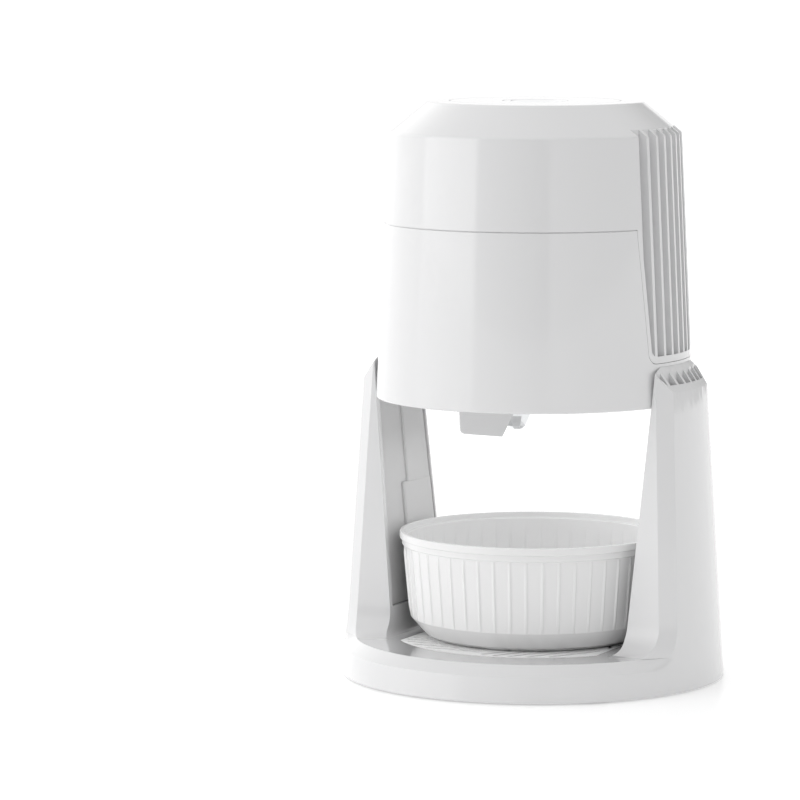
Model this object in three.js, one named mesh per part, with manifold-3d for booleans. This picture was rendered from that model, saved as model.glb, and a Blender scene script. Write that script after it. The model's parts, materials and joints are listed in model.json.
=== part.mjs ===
// Countertop shaved ice machine: a motor head held between two legs over a round base with a drip tray.
// Millimetres, +Z up, the front is -Y, and the origin is the centre of the footprint on the table.
import * as THREE from "three";
import { mergeVertices } from "three/addons/utils/BufferGeometryUtils.js";
import Module from "manifold-3d";

const wasm = await Module();
wasm.setup();

// ---- Driving dimensions ----
const GAP = 0.3; // between pieces that touch
const SIDES = 48; // facets round the large turned pieces

const TOP_Z = 350;
const TOP_FLAT_R = 65.7;
const SHOULDER_Z = 331.4;
const SHOULDER_R = 88.7;
const HEAD_BOTTOM_Z = 170;
const HEAD_BOTTOM_R = 96.4;
const PARTING_Z = 276.5;
const SHELL_WALL = 2.5;

const TONGUE_BOTTOM_Z = 196.5; // the grooved side tongues of the upper shell
const TONGUE_LOW_HALF = 33;
const TONGUE_TOP_HALF = 37.7;
const TONGUE_THICK = 6.9;
const TONGUE_BORDER = 2.7; // plain strip round the grooves
const GROOVE_BOTTOM_Z = 200.6;
const GROOVE_DEPTH = 4.7;
const GROOVE_PITCH = 8.8;
const GROOVE_WIDTH = 6.6;

const BASE_R = 117; // the stand's outer cone
const STAND_TAPER = 0.062;
const BASE_BOTTOM_Z = 1.2;
const TRAY_Z = 23;
const RIM_CHAMFER = 6.4;
const WINDOW_FILLET = 18; // between a leg's side and the base top
const INNER_FILLET = 5; // between a leg's inner face and the base top
const LEG_TOP_Z = 180.4;
const LEG_TOP_SLOPE = 1.4;
const LEG_OPENING_LOW_Z = 40;
const LEG_OPENING_HIGH_Z = 168;
const LEG_HOLLOW_LOW_DEPTH = 18; // how far the hollow reaches behind the inner face
const LEG_HOLLOW_HIGH_DEPTH = 4.8;
const LEG_BORDER_FRONT = 4; // plain strips beside the opening
const LEG_BORDER_REAR = 1.6;
const LEDGE_Z = 113; // on the cover, below its rear pilaster

const GRILLE_R = 84;
const GRILLE_HALF_X = 64.5;
const GRILLE_THICK = 2.4;
const SLIT_WIDTH = 2.5;
const SLIT_PITCH = 7.5;
const FIRST_SLIT = 41;
const PAN_R = 81.2;
const PAN_HALF_X = 61.7;

const BOWL_RIM_R = 82;
const BOWL_RIM_Z = 88;
const BOWL_RIBS = 50; // one on each facet of the bowl's wall
const BOWL_TURN = -0.9; // degrees

const CHUTE_ANGLE = -61; // degrees from the front towards the right
const KNOB_X = -17.8;
const KNOB_Y = 13.3;
const CHAMBER_R = 68.5;
const CHAMBER_FLOOR_Z = 184;
const CHAMBER_TOP_Z = 268;
const PUSHER_R = 62;

const PINION_TEETH = 12;
const GEAR_TEETH = 60;
const GEAR_MODULE = 1;
const MOTOR_Y = (GEAR_MODULE * (PINION_TEETH + GEAR_TEETH)) / 2;

const rad = THREE.MathUtils.degToRad;

// ---- Colours ----
const material = (color, roughness, metalness = 0) =>
  new THREE.MeshStandardMaterial({ color, roughness, metalness });
const whiteGloss = material(0xf2f2f2, 0.22);
const bowlWhite = material(0xeeeeee, 0.3);
const innerWhite = material(0xdddddd, 0.5);
const chrome = material(0xd8d8d8, 0.08, 1);
const steel = material(0xb8bbbe, 0.3, 1);
const motorSteel = material(0x9a9c9e, 0.4, 1);
const brass = material(0xc9a45a, 0.3, 1);
const darkRubber = material(0x303030, 0.85);
const blackPlastic = material(0x1c1c1c, 0.5);
const boardGreen = material(0x1f6b43, 0.6);

// ---- Solids: every shape is a merged mesh, welded and closed ----
function solid(geometry) {
  const bare = geometry.index ? geometry.toNonIndexed() : geometry.clone();
  for (const name of Object.keys(bare.attributes)) {
    if (name !== "position") bare.deleteAttribute(name);
  }
  const merged = mergeVertices(bare, 1e-3);
  const vertProperties = merged.attributes.position.array;
  const faces = [];
  const index = merged.index.array;
  for (let i = 0; i < index.length; i += 3) {
    const [a, b, c] = [index[i], index[i + 1], index[i + 2]];
    if (a !== b && b !== c && a !== c) faces.push(a, b, c);
  }
  const made = new wasm.Manifold(
    new wasm.Mesh({ numProp: 3, vertProperties, triVerts: new Uint32Array(faces) }),
  );
  if (made.volume() > 0) return made;
  const turned = [];
  for (let i = 0; i < faces.length; i += 3) turned.push(faces[i], faces[i + 2], faces[i + 1]);
  return new wasm.Manifold(
    new wasm.Mesh({ numProp: 3, vertProperties, triVerts: new Uint32Array(turned) }),
  );
}

function geometryOf(made) {
  const mesh = made.getMesh();
  const positions = new Float32Array(mesh.numVert * 3);
  for (let i = 0; i < mesh.numVert; i++) {
    const start = i * mesh.numProp;
    positions.set(mesh.vertProperties.subarray(start, start + 3), i * 3);
  }
  const geometry = new THREE.BufferGeometry();
  geometry.setAttribute("position", new THREE.BufferAttribute(positions, 3));
  geometry.setIndex(new THREE.BufferAttribute(new Uint32Array(mesh.triVerts), 1));
  geometry.computeVertexNormals();
  return geometry;
}

const join = (...parts) => parts.reduce((sum, part) => sum.add(part));
const cut = (from, ...parts) => parts.reduce((rest, part) => rest.subtract(part), from);

// A profile of [radius, height] points turned about Z. A profile off the axis is closed on itself.
function turned(profile, sides = SIDES, x = 0, y = 0) {
  const points = profile.map(([r, z]) => new THREE.Vector2(r, z));
  const onAxis = profile[0][0] === 0 && profile[profile.length - 1][0] === 0;
  if (!onAxis) points.push(points[0].clone());
  const geometry = new THREE.LatheGeometry(points, sides).rotateX(Math.PI / 2);
  return solid(geometry.translate(x, y, 0));
}

const cylinder = (r, z0, z1, x = 0, y = 0, sides = 24) =>
  turned([[0, z0], [r, z0], [r, z1], [0, z1]], sides, x, y);

const tube = (inner, outer, z0, z1, x = 0, y = 0, sides = 32) =>
  turned([[inner, z0], [outer, z0], [outer, z1], [inner, z1]], sides, x, y);

function boxGeometry(x0, x1, y0, y1, z0, z1) {
  const geometry = new THREE.BoxGeometry(x1 - x0, y1 - y0, z1 - z0);
  return geometry.translate((x0 + x1) / 2, (y0 + y1) / 2, (z0 + z1) / 2);
}
const box = (...sizes) => solid(boxGeometry(...sizes));

// A flat outline of [a, b] points pulled straight: along Z (a, b = X, Y), X (Y, Z) or Y (X, Z).
function pulledGeometry(outline, from, to, axis = "z") {
  const shape = new THREE.Shape(outline.map(([a, b]) => new THREE.Vector2(a, b)));
  const geometry = new THREE.ExtrudeGeometry(shape, { depth: to - from, bevelEnabled: false });
  geometry.translate(0, 0, from);
  if (axis === "x") geometry.rotateZ(Math.PI / 2).rotateY(Math.PI / 2);
  if (axis === "y") geometry.rotateX(Math.PI / 2).scale(1, -1, 1);
  return geometry;
}
const pulled = (...options) => solid(pulledGeometry(...options));

// Horizontal sections, each a list of [x, y, z] with the same number of points, joined into one skin.
function loftGeometry(sections) {
  const count = sections[0].length;
  const positions = sections.flat(2);
  const index = [];
  for (let s = 0; s + 1 < sections.length; s++) {
    for (let i = 0; i < count; i++) {
      const a = s * count + i;
      const b = s * count + ((i + 1) % count);
      index.push(a, b, b + count, a, b + count, a + count);
    }
  }
  const last = (sections.length - 1) * count;
  const flat = (section) => section.map(([x, y]) => new THREE.Vector2(x, y));
  for (const [a, b, c] of THREE.ShapeUtils.triangulateShape(flat(sections[0]), [])) {
    index.push(c, b, a);
  }
  for (const [a, b, c] of THREE.ShapeUtils.triangulateShape(flat(sections[sections.length - 1]), [])) {
    index.push(last + a, last + b, last + c);
  }
  const geometry = new THREE.BufferGeometry();
  geometry.setAttribute("position", new THREE.Float32BufferAttribute(positions, 3));
  geometry.setIndex(index);
  return geometry;
}

// A geometry and its mirror image in the plane X = 0, as two solids: right, left.
const pair = (geometry) => [solid(geometry), solid(geometry.clone().scale(-1, 1, 1))];

// A geometry drawn along +X and turned to a bearing measured from the front towards the right.
const aimed = (geometry, bearing) => solid(geometry.rotateZ(rad(bearing - 90)));

// ---- The group and its nodes ----
const machine = new THREE.Group();
function node(name, made, look) {
  const mesh = new THREE.Mesh(geometryOf(made), look);
  mesh.name = name;
  machine.add(mesh);
}

// ---- Shared surfaces ----
const headTaper = (HEAD_BOTTOM_R - SHOULDER_R) / (SHOULDER_Z - HEAD_BOTTOM_Z);
const headR = (z) => HEAD_BOTTOM_R - headTaper * (z - HEAD_BOTTOM_Z);
const standR = (z) => BASE_R - STAND_TAPER * z;
const innerX = (z) => 75.1 + 0.0924 * z; // a leg's inner face
const legHalf = (z) => 43.56 - 0.0574 * z; // half a leg's width at its outer edges, above the fillet
const LEG_DRAFT = 0.1; // a leg narrows towards its inner face
const filletZ = TRAY_Z + WINDOW_FILLET;
const filletY = legHalf(filletZ) + WINDOW_FILLET;

// How far a point of the stand's outside is from the window between the legs.
function windowDistance(y, z) {
  if (Math.abs(y) >= filletY) return TRAY_Z - z;
  if (z < filletZ) return Math.hypot(filletY - Math.abs(y), filletZ - z) - WINDOW_FILLET;
  return legHalf(z) - Math.abs(y);
}

// The radius of the stand's outside at a height, less the chamfer along the window's edge.
function rimR(y, z) {
  return standR(z) - Math.max(0, RIM_CHAMFER - windowDistance(y, z));
}

// ---- Stand shell ----
function legSection(z) {
  const below = z < filletZ;
  const drop = Math.min(filletZ - z, WINDOW_FILLET);
  const half = below ? filletY - Math.sqrt(WINDOW_FILLET ** 2 - drop ** 2) : legHalf(z);
  const chamferFrom = below
    ? filletY - Math.sqrt((WINDOW_FILLET + RIM_CHAMFER) ** 2 - drop ** 2)
    : half - RIM_CHAMFER;
  const rise = Math.min(TRAY_Z + INNER_FILLET - z, INNER_FILLET);
  const inward = rise > 0 ? INNER_FILLET - Math.sqrt(INNER_FILLET ** 2 - rise ** 2) : 0;
  const edgeX = Math.sqrt((standR(z) - RIM_CHAMFER) ** 2 - half ** 2);
  const x = Math.min(innerX(z) - inward, edgeX - 0.5);
  const innerHalf = half - LEG_DRAFT * (edgeX - x);
  const chamfer = [0.33, 0.66].map((part) => {
    const y = half + (chamferFrom - half) * part;
    return [Math.sqrt(rimR(y, z) ** 2 - y ** 2), y];
  });
  const sweep = Math.asin(chamferFrom / standR(z));
  const steps = 7;
  const arc = [];
  for (let i = 0; i <= steps; i++) {
    const a = -sweep + (2 * sweep * i) / steps;
    arc.push([standR(z) * Math.cos(a), standR(z) * Math.sin(a)]);
  }
  const front = [[x, -innerHalf], [edgeX, -half], ...chamfer.map(([px, py]) => [px, -py])];
  const rear = [...chamfer.reverse(), [edgeX, half], [x, innerHalf]];
  return [...front, ...arc, ...rear].map(([px, py]) => [px, py, z]);
}

const buried = legSection(TRAY_Z).map(([x, y]) => [x * 0.97, y * 0.97, TRAY_Z - 3]);
const legLevels = [TRAY_Z, 23.7, 24.8, 28, 33, filletZ, 90, 140, 198];
const legs = pair(loftGeometry([buried, ...legLevels.map(legSection)]));

const rightAngles = legSection(TRAY_Z).slice(1, -1).map(([x, y]) => Math.atan2(y, x));
const openFrom = rightAngles[rightAngles.length - 1];
const baseAngles = [...rightAngles];
const openSteps = 18;
for (let i = 1; i < openSteps; i++) {
  baseAngles.push(openFrom + ((Math.PI - 2 * openFrom) * i) / openSteps);
}
const halfTurn = baseAngles.map((a) => a + Math.PI);
baseAngles.push(...halfTurn);
function baseSection(z) {
  return baseAngles.map((a) => {
    const r = rimR(standR(z) * Math.sin(a), z);
    return [r * Math.cos(a), r * Math.sin(a), z];
  });
}
const baseLevels = [BASE_BOTTOM_Z, 9, TRAY_Z - RIM_CHAMFER, TRAY_Z];
const baseBlock = solid(loftGeometry(baseLevels.map(baseSection)));

const overHead = turned([
  [0, HEAD_BOTTOM_Z - GAP],
  [headR(HEAD_BOTTOM_Z) + GAP, HEAD_BOTTOM_Z - GAP],
  [headR(210) + GAP, 210],
  [0, 210],
]);
const overLegs = turned([
  [90, LEG_TOP_Z + LEG_TOP_SLOPE * 15.4],
  [125, LEG_TOP_Z - LEG_TOP_SLOPE * 19.6],
  [125, 230],
  [90, 230],
]);

// Grooves in the slanted leg tops, in line with those of the head's tongues.
function grooves(xFrom, xTo, zFrom, zTo, perSide) {
  const slots = [];
  for (let i = -perSide; i < perSide; i++) {
    const y = GROOVE_PITCH * (i + 0.5);
    slots.push(boxGeometry(xFrom, xTo, y - GROOVE_WIDTH / 2, y + GROOVE_WIDTH / 2, zFrom, zTo));
  }
  return slots;
}
const grooveBand = tube(97.8, 103, 172, 205, 0, 0, SIDES);
const grooveCorners = pulled(
  [[84, -31.6], [94, -31.6], [103.5, -24.4], [103.5, 24.4], [94, 31.6], [84, 31.6]],
  170,
  206,
);
const grooveLimit = join(grooveCorners, grooveCorners.mirror([1, 0, 0])).intersect(grooveBand);
const legGrooves = grooves(84, 108, 175.5, 204, 4).flatMap((slot) =>
  pair(slot).map((made) => made.intersect(grooveLimit)),
);

// A leg's hollow, open towards the bowl and closed by a recessed cover.
function legSlice(z, depthFrom, depthTo, yFrom, yTo) {
  const [x0, x1] = [innerX(z) + depthFrom, innerX(z) + depthTo];
  return [[x0, yFrom, z], [x1, yFrom, z], [x1, yTo, z], [x0, yTo, z]];
}
function innerHalf(z) {
  const edgeX = Math.sqrt((standR(z) - RIM_CHAMFER) ** 2 - legHalf(z) ** 2);
  return legHalf(z) - LEG_DRAFT * (edgeX - innerX(z));
}
const openingFront = (z) => LEG_BORDER_FRONT - innerHalf(z);
const openingRear = (z) => innerHalf(z) - LEG_BORDER_REAR;
const hollowEnds = [
  [LEG_OPENING_LOW_Z, LEG_HOLLOW_LOW_DEPTH],
  [LEG_OPENING_HIGH_Z, LEG_HOLLOW_HIGH_DEPTH],
];
const legHollows = pair(
  loftGeometry(
    hollowEnds.map(([z, depth]) => legSlice(z, -8, depth, openingFront(z), openingRear(z))),
  ),
);

// A round outline with two flat sides at X = +-half.
function clippedDisc(r, half, z0, z1) {
  return cylinder(r, z0, z1, 0, 0, SIDES).intersect(box(-half, half, -r - 1, r + 1, z0 - 1, z1 + 1));
}

const trayPocketZ = TRAY_Z - GRILLE_THICK - GAP;
const panFloorZ = 9;
const underFloorZ = 6.5; // the shell's underside, inside its skirt
const standShell = cut(
  join(baseBlock, ...legs),
  overHead,
  overLegs,
  ...legGrooves,
  ...legHollows,
  clippedDisc(GRILLE_R + 0.4, GRILLE_HALF_X + 0.4, trayPocketZ, TRAY_Z + 5),
  clippedDisc(PAN_R + 0.4, PAN_HALF_X + 0.4, underFloorZ - 1, trayPocketZ + 1),
  cylinder(BASE_R - 4, 0, underFloorZ, 0, 0, SIDES),
);
node("stand_shell", standShell, whiteGloss);

// ---- Leg covers: a recessed panel, a rear pilaster, and a wider step below its ledge ----
function coverSolids() {
  const [low, high] = [LEG_OPENING_LOW_Z + GAP, LEG_OPENING_HIGH_Z - GAP];
  const block = (from, to, depthFrom, depthTo, yFrom) =>
    loftGeometry(
      [from, to].map((z) => legSlice(z, depthFrom, depthTo, yFrom(z), openingRear(z) - GAP)),
    );
  const panels = pair(block(low, high, 2.6, 4.4, (z) => openingFront(z) + GAP));
  const pilasters = pair(block(low, high, 0.9, 3, () => 3));
  const steps = pair(block(low, LEDGE_Z, 0.3, 3, () => -4));
  return panels.map((panel, side) => join(panel, pilasters[side], steps[side]));
}
const [rightCover, leftCover] = coverSolids();
node("leg_cover_right", rightCover, innerWhite);
node("leg_cover_left", leftCover, innerWhite);

// ---- Underside: plate and four rubber feet ----
const footPlaces = [
  ["foot_front_right", 70, -70],
  ["foot_front_left", -70, -70],
  ["foot_rear_right", 70, 70],
  ["foot_rear_left", -70, 70],
];
const footR = 9;
const plate = cut(
  join(
    cylinder(BASE_R - 4 - GAP, 1.6, 4.6, 0, 0, SIDES),
    clippedDisc(PAN_R, PAN_HALF_X, 4, panFloorZ), // raised under the drip pan, and carries it
  ),
  ...footPlaces.map(([, x, y]) => cylinder(footR + GAP, 1, 3.2, x, y, 16)),
);
node("base_plate", plate, innerWhite);
for (const [name, x, y] of footPlaces) {
  const foot = turned([[0, 0], [footR - 1, 0], [footR, 1], [footR, 2.9], [0, 2.9]], 16, x, y);
  node(name, foot, darkRubber);
}

// ---- Drip tray: slotted grille over a shallow pan ----
// The slits lie in six sectors. In each, they run square to the sector's leading border.
function sectorSlits(border) {
  const wedge = aimed(
    pulledGeometry([[0, 0], [120, 0], [60, -104]], TRAY_Z - 5, TRAY_Z + 2),
    border,
  );
  const slits = [];
  for (let i = 0; i < 5; i++) {
    const x = FIRST_SLIT + SLIT_PITCH * i;
    const slit = boxGeometry(x - SLIT_WIDTH / 2, x + SLIT_WIDTH / 2, -90, -2, TRAY_Z - 4, TRAY_Z + 1);
    slits.push(aimed(slit, border).intersect(wedge));
  }
  return slits;
}
const slitLimit = clippedDisc(GRILLE_R - 2.5, GRILLE_HALF_X - 2.5, TRAY_Z - 4, TRAY_Z + 1);
const slits = [0, 60, 120, 180, 240, 300].flatMap(sectorSlits);
const grille = cut(
  clippedDisc(GRILLE_R, GRILLE_HALF_X, TRAY_Z - GRILLE_THICK, TRAY_Z),
  ...slits.map((slit) => slit.intersect(slitLimit)),
);
node("drip_grille", grille, whiteGloss);

const panTopZ = trayPocketZ - GAP;
const pan = cut(
  clippedDisc(PAN_R, PAN_HALF_X, panFloorZ + GAP, panTopZ),
  clippedDisc(PAN_R - 2, PAN_HALF_X - 2, panFloorZ + GAP + 1.8, panTopZ + 1),
);
node("drip_pan", pan, innerWhite);

// ---- Bowl ----
const bowlProfile = [
  [0, TRAY_Z + GAP],
  [62, TRAY_Z + GAP],
  [66.5, 25.5],
  [75.3, 35.5],
  [79.4, 79.5],
  [80.6, 80],
  [80.6, 83.4],
  [BOWL_RIM_R, 83.8],
  [BOWL_RIM_R, BOWL_RIM_Z],
  [79.6, BOWL_RIM_Z],
  [79.2, 84.8],
  [77.4, 84.3],
  [73.3, 37],
  [65, 27],
  [61, 25.3],
  [0, 25.3],
];
const bowlShell = turned(bowlProfile, BOWL_RIBS);
const ribs = [];
for (let i = 0; i < BOWL_RIBS; i++) {
  const rib = pulledGeometry([[74, 37.6], [75.9, 38.3], [79.6, 75], [77.8, 76]], -0.8, 0.8, "y");
  ribs.push(aimed(rib, (360 * (i + 0.5)) / BOWL_RIBS));
}
node("bowl", join(bowlShell, ...ribs).rotate([0, 0, BOWL_TURN]), bowlWhite);

// ---- Head, lower shell, with a recess for each side tongue ----
function tongueOutline(spread, bottom, top, corner = 6) {
  const slope = (TONGUE_TOP_HALF - TONGUE_LOW_HALF) / (274 - 205);
  const half = (z) => spread + Math.min(TONGUE_LOW_HALF + slope * (z - 205), TONGUE_TOP_HALF);
  const side = [];
  for (let i = 0; i <= 4; i++) {
    const a = rad(90 * (i / 4));
    const z = bottom + corner - corner * Math.cos(a);
    side.push([half(z) - corner + corner * Math.sin(a), z]);
  }
  side.push([half(274), 274], [half(274), top]);
  const mirrored = side.map(([y, z]) => [-y, z]).reverse();
  return [...side, ...mirrored];
}

const headSolid = turned([
  [0, 180],
  [headR(180), 180],
  [SHOULDER_R, SHOULDER_Z],
  [TOP_FLAT_R, TOP_Z],
  [0, TOP_Z],
]);
// Everything nearer the axis than a depth below the head's side.
const within = (depth) =>
  turned([[0, 150], [headR(150) - depth, 150], [headR(355) - depth, 355], [0, 355]]);
const tonguePair = (spread, bottom, top, corner) =>
  pair(pulledGeometry(tongueOutline(spread, bottom, top, corner), 60, 120, "x"));

const lowerTop = PARTING_Z - GAP;
const lowerFloorZ = 174.5;
const lowerShell = turned([
  [0, lowerFloorZ - SHELL_WALL],
  [93, lowerFloorZ - SHELL_WALL],
  [94, HEAD_BOTTOM_Z],
  [95.3, HEAD_BOTTOM_Z],
  [headR(171.8), 171.8],
  [headR(lowerTop), lowerTop],
  [headR(lowerTop) - SHELL_WALL, lowerTop],
  [headR(lowerFloorZ) - SHELL_WALL, lowerFloorZ],
  [0, lowerFloorZ],
]);
const recessDepth = TONGUE_THICK + GAP;
const recessBacking = tonguePair(3.4, TONGUE_BOTTOM_Z - 4, lowerTop).map((made) =>
  made.intersect(headSolid).subtract(within(recessDepth + SHELL_WALL)),
);
const recesses = tonguePair(0.5, TONGUE_BOTTOM_Z - 0.5, 280).map((made) =>
  made.subtract(within(recessDepth)),
);
const passage = aimed(boxGeometry(16, 44.5, -7, 7, 160, 178), CHUTE_ANGLE);
const stemHole = cylinder(3.4, 160, 181, KNOB_X, KNOB_Y);
node(
  "chamber_housing",
  cut(join(lowerShell, ...recessBacking), ...recesses, passage, stemHole),
  whiteGloss,
);

// ---- Ice chamber, blade, chute and adjusting knob ----
const chamber = turned([
  [0, CHAMBER_FLOOR_Z - 3],
  [64, CHAMBER_FLOOR_Z - 3],
  [64, lowerFloorZ + GAP],
  [CHAMBER_R, lowerFloorZ + GAP],
  [CHAMBER_R, CHAMBER_TOP_Z],
  [CHAMBER_R - 2.5, CHAMBER_TOP_Z],
  [CHAMBER_R - 2.5, CHAMBER_FLOOR_Z],
  [0, CHAMBER_FLOOR_Z],
]);
const bladeSlot = aimed(boxGeometry(12.5, 49.5, -6, 9, 178, 190), CHUTE_ANGLE);
node("ice_chamber", cut(chamber, bladeSlot), innerWhite);

const carrier = aimed(boxGeometry(2, 52, -12, 27, lowerFloorZ + GAP, 179.4), CHUTE_ANGLE);
node("blade_carrier", cut(carrier, passage, stemHole), innerWhite);

const bladeOutline = [[-5, 180], [-3.4, 180], [4, 184.3], [2.6, 184.3]];
const bladeGeometry = pulledGeometry(bladeOutline, 14, 48, "x");
node("blade", aimed(bladeGeometry, CHUTE_ANGLE), steel);

const chuteOutline = [[46.8, 171.7], [46.3, 152], [45.2, 149.3], [43, 148.1], [20.2, 146.4], [7.7, 171.7]];
const chuteInside = [[44.8, 173], [44.4, 152.5], [43.5, 150.6], [42, 145], [22.4, 145], [9.2, 173]];
const chute = cut(
  aimed(pulledGeometry(chuteOutline, -9, 9, "y"), CHUTE_ANGLE),
  aimed(pulledGeometry(chuteInside, -7.2, 7.2, "y"), CHUTE_ANGLE),
);
node("ice_chute", chute, whiteGloss);

const knobProfile = [
  [0, 147.8],
  [3.6, 147.8],
  [6, 149.8],
  [9.2, 156.5],
  [9.2, 163],
  [3, 165],
  [3, 179.6],
  [0, 179.6],
];
node("adjust_knob", turned(knobProfile, 8, KNOB_X, KNOB_Y), chrome);

// ---- Motor unit: upper shell with grooved tongues, lifted off to fill the ice chamber ----
const upperBottom = PARTING_Z + GAP;
const upperShell = turned([
  [46, 344.5],
  [46, 347.2],
  [52, 347.2],
  [52, TOP_Z],
  [TOP_FLAT_R, TOP_Z],
  [SHOULDER_R, SHOULDER_Z],
  [headR(upperBottom), upperBottom],
  [headR(upperBottom) - SHELL_WALL, upperBottom],
  [headR(330) - SHELL_WALL, 330.1],
  [68.5, 344.5],
]);
const tongues = tonguePair(0, TONGUE_BOTTOM_Z, 345).map((made) =>
  made.intersect(headSolid).subtract(within(TONGUE_THICK)),
);
const grooveField = tonguePair(-TONGUE_BORDER, GROOVE_BOTTOM_Z, 352, 4);
const grooveFloor = within(GROOVE_DEPTH);
const headGrooves = grooves(60, 111, GROOVE_BOTTOM_Z - 1, 351, 4).flatMap((slot) =>
  pair(slot).map((made, side) => made.intersect(grooveField[side]).subtract(grooveFloor)),
);
const inletZ = 300;
const inletHole = box(-13, 13, 70, 100, inletZ - 9, inletZ + 9);
node("motor_housing", cut(join(upperShell, ...tongues), ...headGrooves, inletHole), whiteGloss);

node(
  "top_cap",
  turned([
    [20, TOP_Z],
    [51.7, TOP_Z],
    [51.7, 347.5],
    [45, 347.5],
    [45, 338.9],
    [42.5, 338.9],
    [42.5, 347.5],
    [20, 347.5],
  ]),
  whiteGloss,
);

const inletBody = box(-12.6, 12.6, 76, 89.3, inletZ - 8.6, inletZ + 8.6);
const inletRecess = box(-9, 9, 79, 95, inletZ - 5, inletZ + 5);
const inletPins = [-4, 4].map((x) => box(x - 1, x + 1, 77, 87, inletZ - 1, inletZ + 1));
node("power_inlet", join(cut(inletBody, inletRecess), ...inletPins), blackPlastic);

// Power button, its spring, the switch below and the round circuit board.
const buttonR = 19.5;
node(
  "power_button",
  turned(
    [[0, 342.9], [3, 342.9], [3, 345], [15, 345], [15, 343.1], [21.5, 343.1], [21.5, 345]].concat([
      [buttonR, 345],
      [buttonR, 349.4],
      [buttonR - 0.6, TOP_Z],
      [0, TOP_Z],
    ]),
    48,
  ),
  chrome,
);
node("button_spring", tube(16, 18.5, 338.9, 342.8, 0, 0, 20), steel);
node("micro_switch", box(-6, 6, -3.5, 3.5, 338.9, 340.2), blackPlastic);
node("control_board", cylinder(44, 337.2, 338.6, 0, 0, 48), boardGreen);

// Frame of the drive: a floor with three posts and the gear plate over them.
const floorZ = 277.6;
const postPlaces = [[44, 20], [-44, 20], [0, -44]];
const unitFloor = cut(
  join(
    cylinder(87, floorZ, floorZ + 2.5, 0, 0, SIDES),
    ...postPlaces.map(([x, y]) => cylinder(4, floorZ + 1, 293.7, x, y, 16)),
  ),
  cylinder(9.6, 270, 290, 0, 0, 32),
  ...tonguePair(0.6, TONGUE_BOTTOM_Z, 345).map((made) => made.subtract(within(recessDepth))),
);
node("unit_floor", unitFloor, innerWhite);
const gearPlate = cut(
  cylinder(58, 294, 296.5, 0, 10, 48),
  cylinder(9.6, 290, 300, 0, 0, 32),
  cylinder(3.2, 290, 300, 0, MOTOR_Y),
);
node("gear_plate", gearPlate, motorSteel);
node("seal_ring", tube(64.5, 69, CHAMBER_TOP_Z + GAP, floorZ - GAP, 0, 0, SIDES), darkRubber);
node("motor_can", tube(3.2, 20, 296.8, 328, 0, MOTOR_Y, 24), motorSteel);

// Rotor: shaft, fan and pinion.
function gearGeometry(teeth, bore, z0, z1, phase) {
  const pitchR = (GEAR_MODULE * teeth) / 2;
  const step = (2 * Math.PI) / teeth;
  const levels = [
    [pitchR - 1.25 * GEAR_MODULE, 0.32],
    [pitchR + 0.9 * GEAR_MODULE, 0.1],
  ];
  const outline = [];
  for (let i = 0; i < teeth; i++) {
    const middle = step * i + phase;
    for (const [r, share] of levels) outline.push([r, middle - share * step]);
    for (const [r, share] of [...levels].reverse()) outline.push([r, middle + share * step]);
  }
  const shape = new THREE.Shape(
    outline.map(([r, a]) => new THREE.Vector2(r * Math.cos(a), r * Math.sin(a))),
  );
  const hole = new THREE.Path().absarc(0, 0, bore, 0, 2 * Math.PI, true);
  shape.holes.push(hole);
  const depth = z1 - z0;
  const geometry = new THREE.ExtrudeGeometry(shape, { depth, bevelEnabled: false, curveSegments: 8 });
  return geometry.translate(0, 0, z0);
}
const towardMotor = Math.PI / 2;
const gearPhase = towardMotor + Math.PI / GEAR_TEETH; // a gap of the gear faces the pinion
const pinion = gearGeometry(PINION_TEETH, 2.7, 284, 291, -towardMotor).translate(0, MOTOR_Y, 0);
node("pinion", solid(pinion), brass);
node("motor_shaft", cylinder(2.4, 281, 335.5, 0, MOTOR_Y, 16), steel);
const fanBlades = [];
for (let i = 0; i < 8; i++) {
  const vane = boxGeometry(4, 17, -0.6, 0.6, 330, 334);
  fanBlades.push(solid(vane.rotateZ((Math.PI * i) / 4).translate(0, MOTOR_Y, 0)));
}
const fanDisc = tube(2.7, 17, 329, 330.4, 0, MOTOR_Y, 24);
const fanHub = tube(2.7, 5.5, 329, 334, 0, MOTOR_Y, 16);
node("motor_fan", join(fanDisc, fanHub, ...fanBlades), blackPlastic);

// Spindle: a hollow tube turned by the large gear.
node("spindle_tube", tube(6, 9, 270, 326, 0, 0, 20), steel);
node("drive_gear", solid(gearGeometry(GEAR_TEETH, 9.3, 284, 291, gearPhase)), innerWhite);

// Pusher: a square rod that slides in the spindle, and a spiked disc that turns the ice over the blade.
const rodHalf = 4;
node("pusher_rod", box(-rodHalf, rodHalf, -rodHalf, rodHalf, 260.3, 325), steel);
const spikes = [];
for (let i = 0; i < 6; i++) {
  const a = (Math.PI * i) / 3;
  const r = i % 2 ? 26 : 48;
  const [x, y] = [r * Math.cos(a), r * Math.sin(a)];
  spikes.push(turned([[0, 250], [0.8, 250], [3, 256.5], [0, 256.5]], 12, x, y));
}
node("pusher_disc", join(cylinder(PUSHER_R, 256, 260, 0, 0, 48), ...spikes), innerWhite);

export default machine;
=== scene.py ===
"""Shaved ice machine: the looks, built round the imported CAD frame. Lengths below are in millimetres
unless a name ends in _m; the scene itself is in metres."""
import json
import math

import bmesh
import bpy
from mathutils import Matrix, Vector


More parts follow.
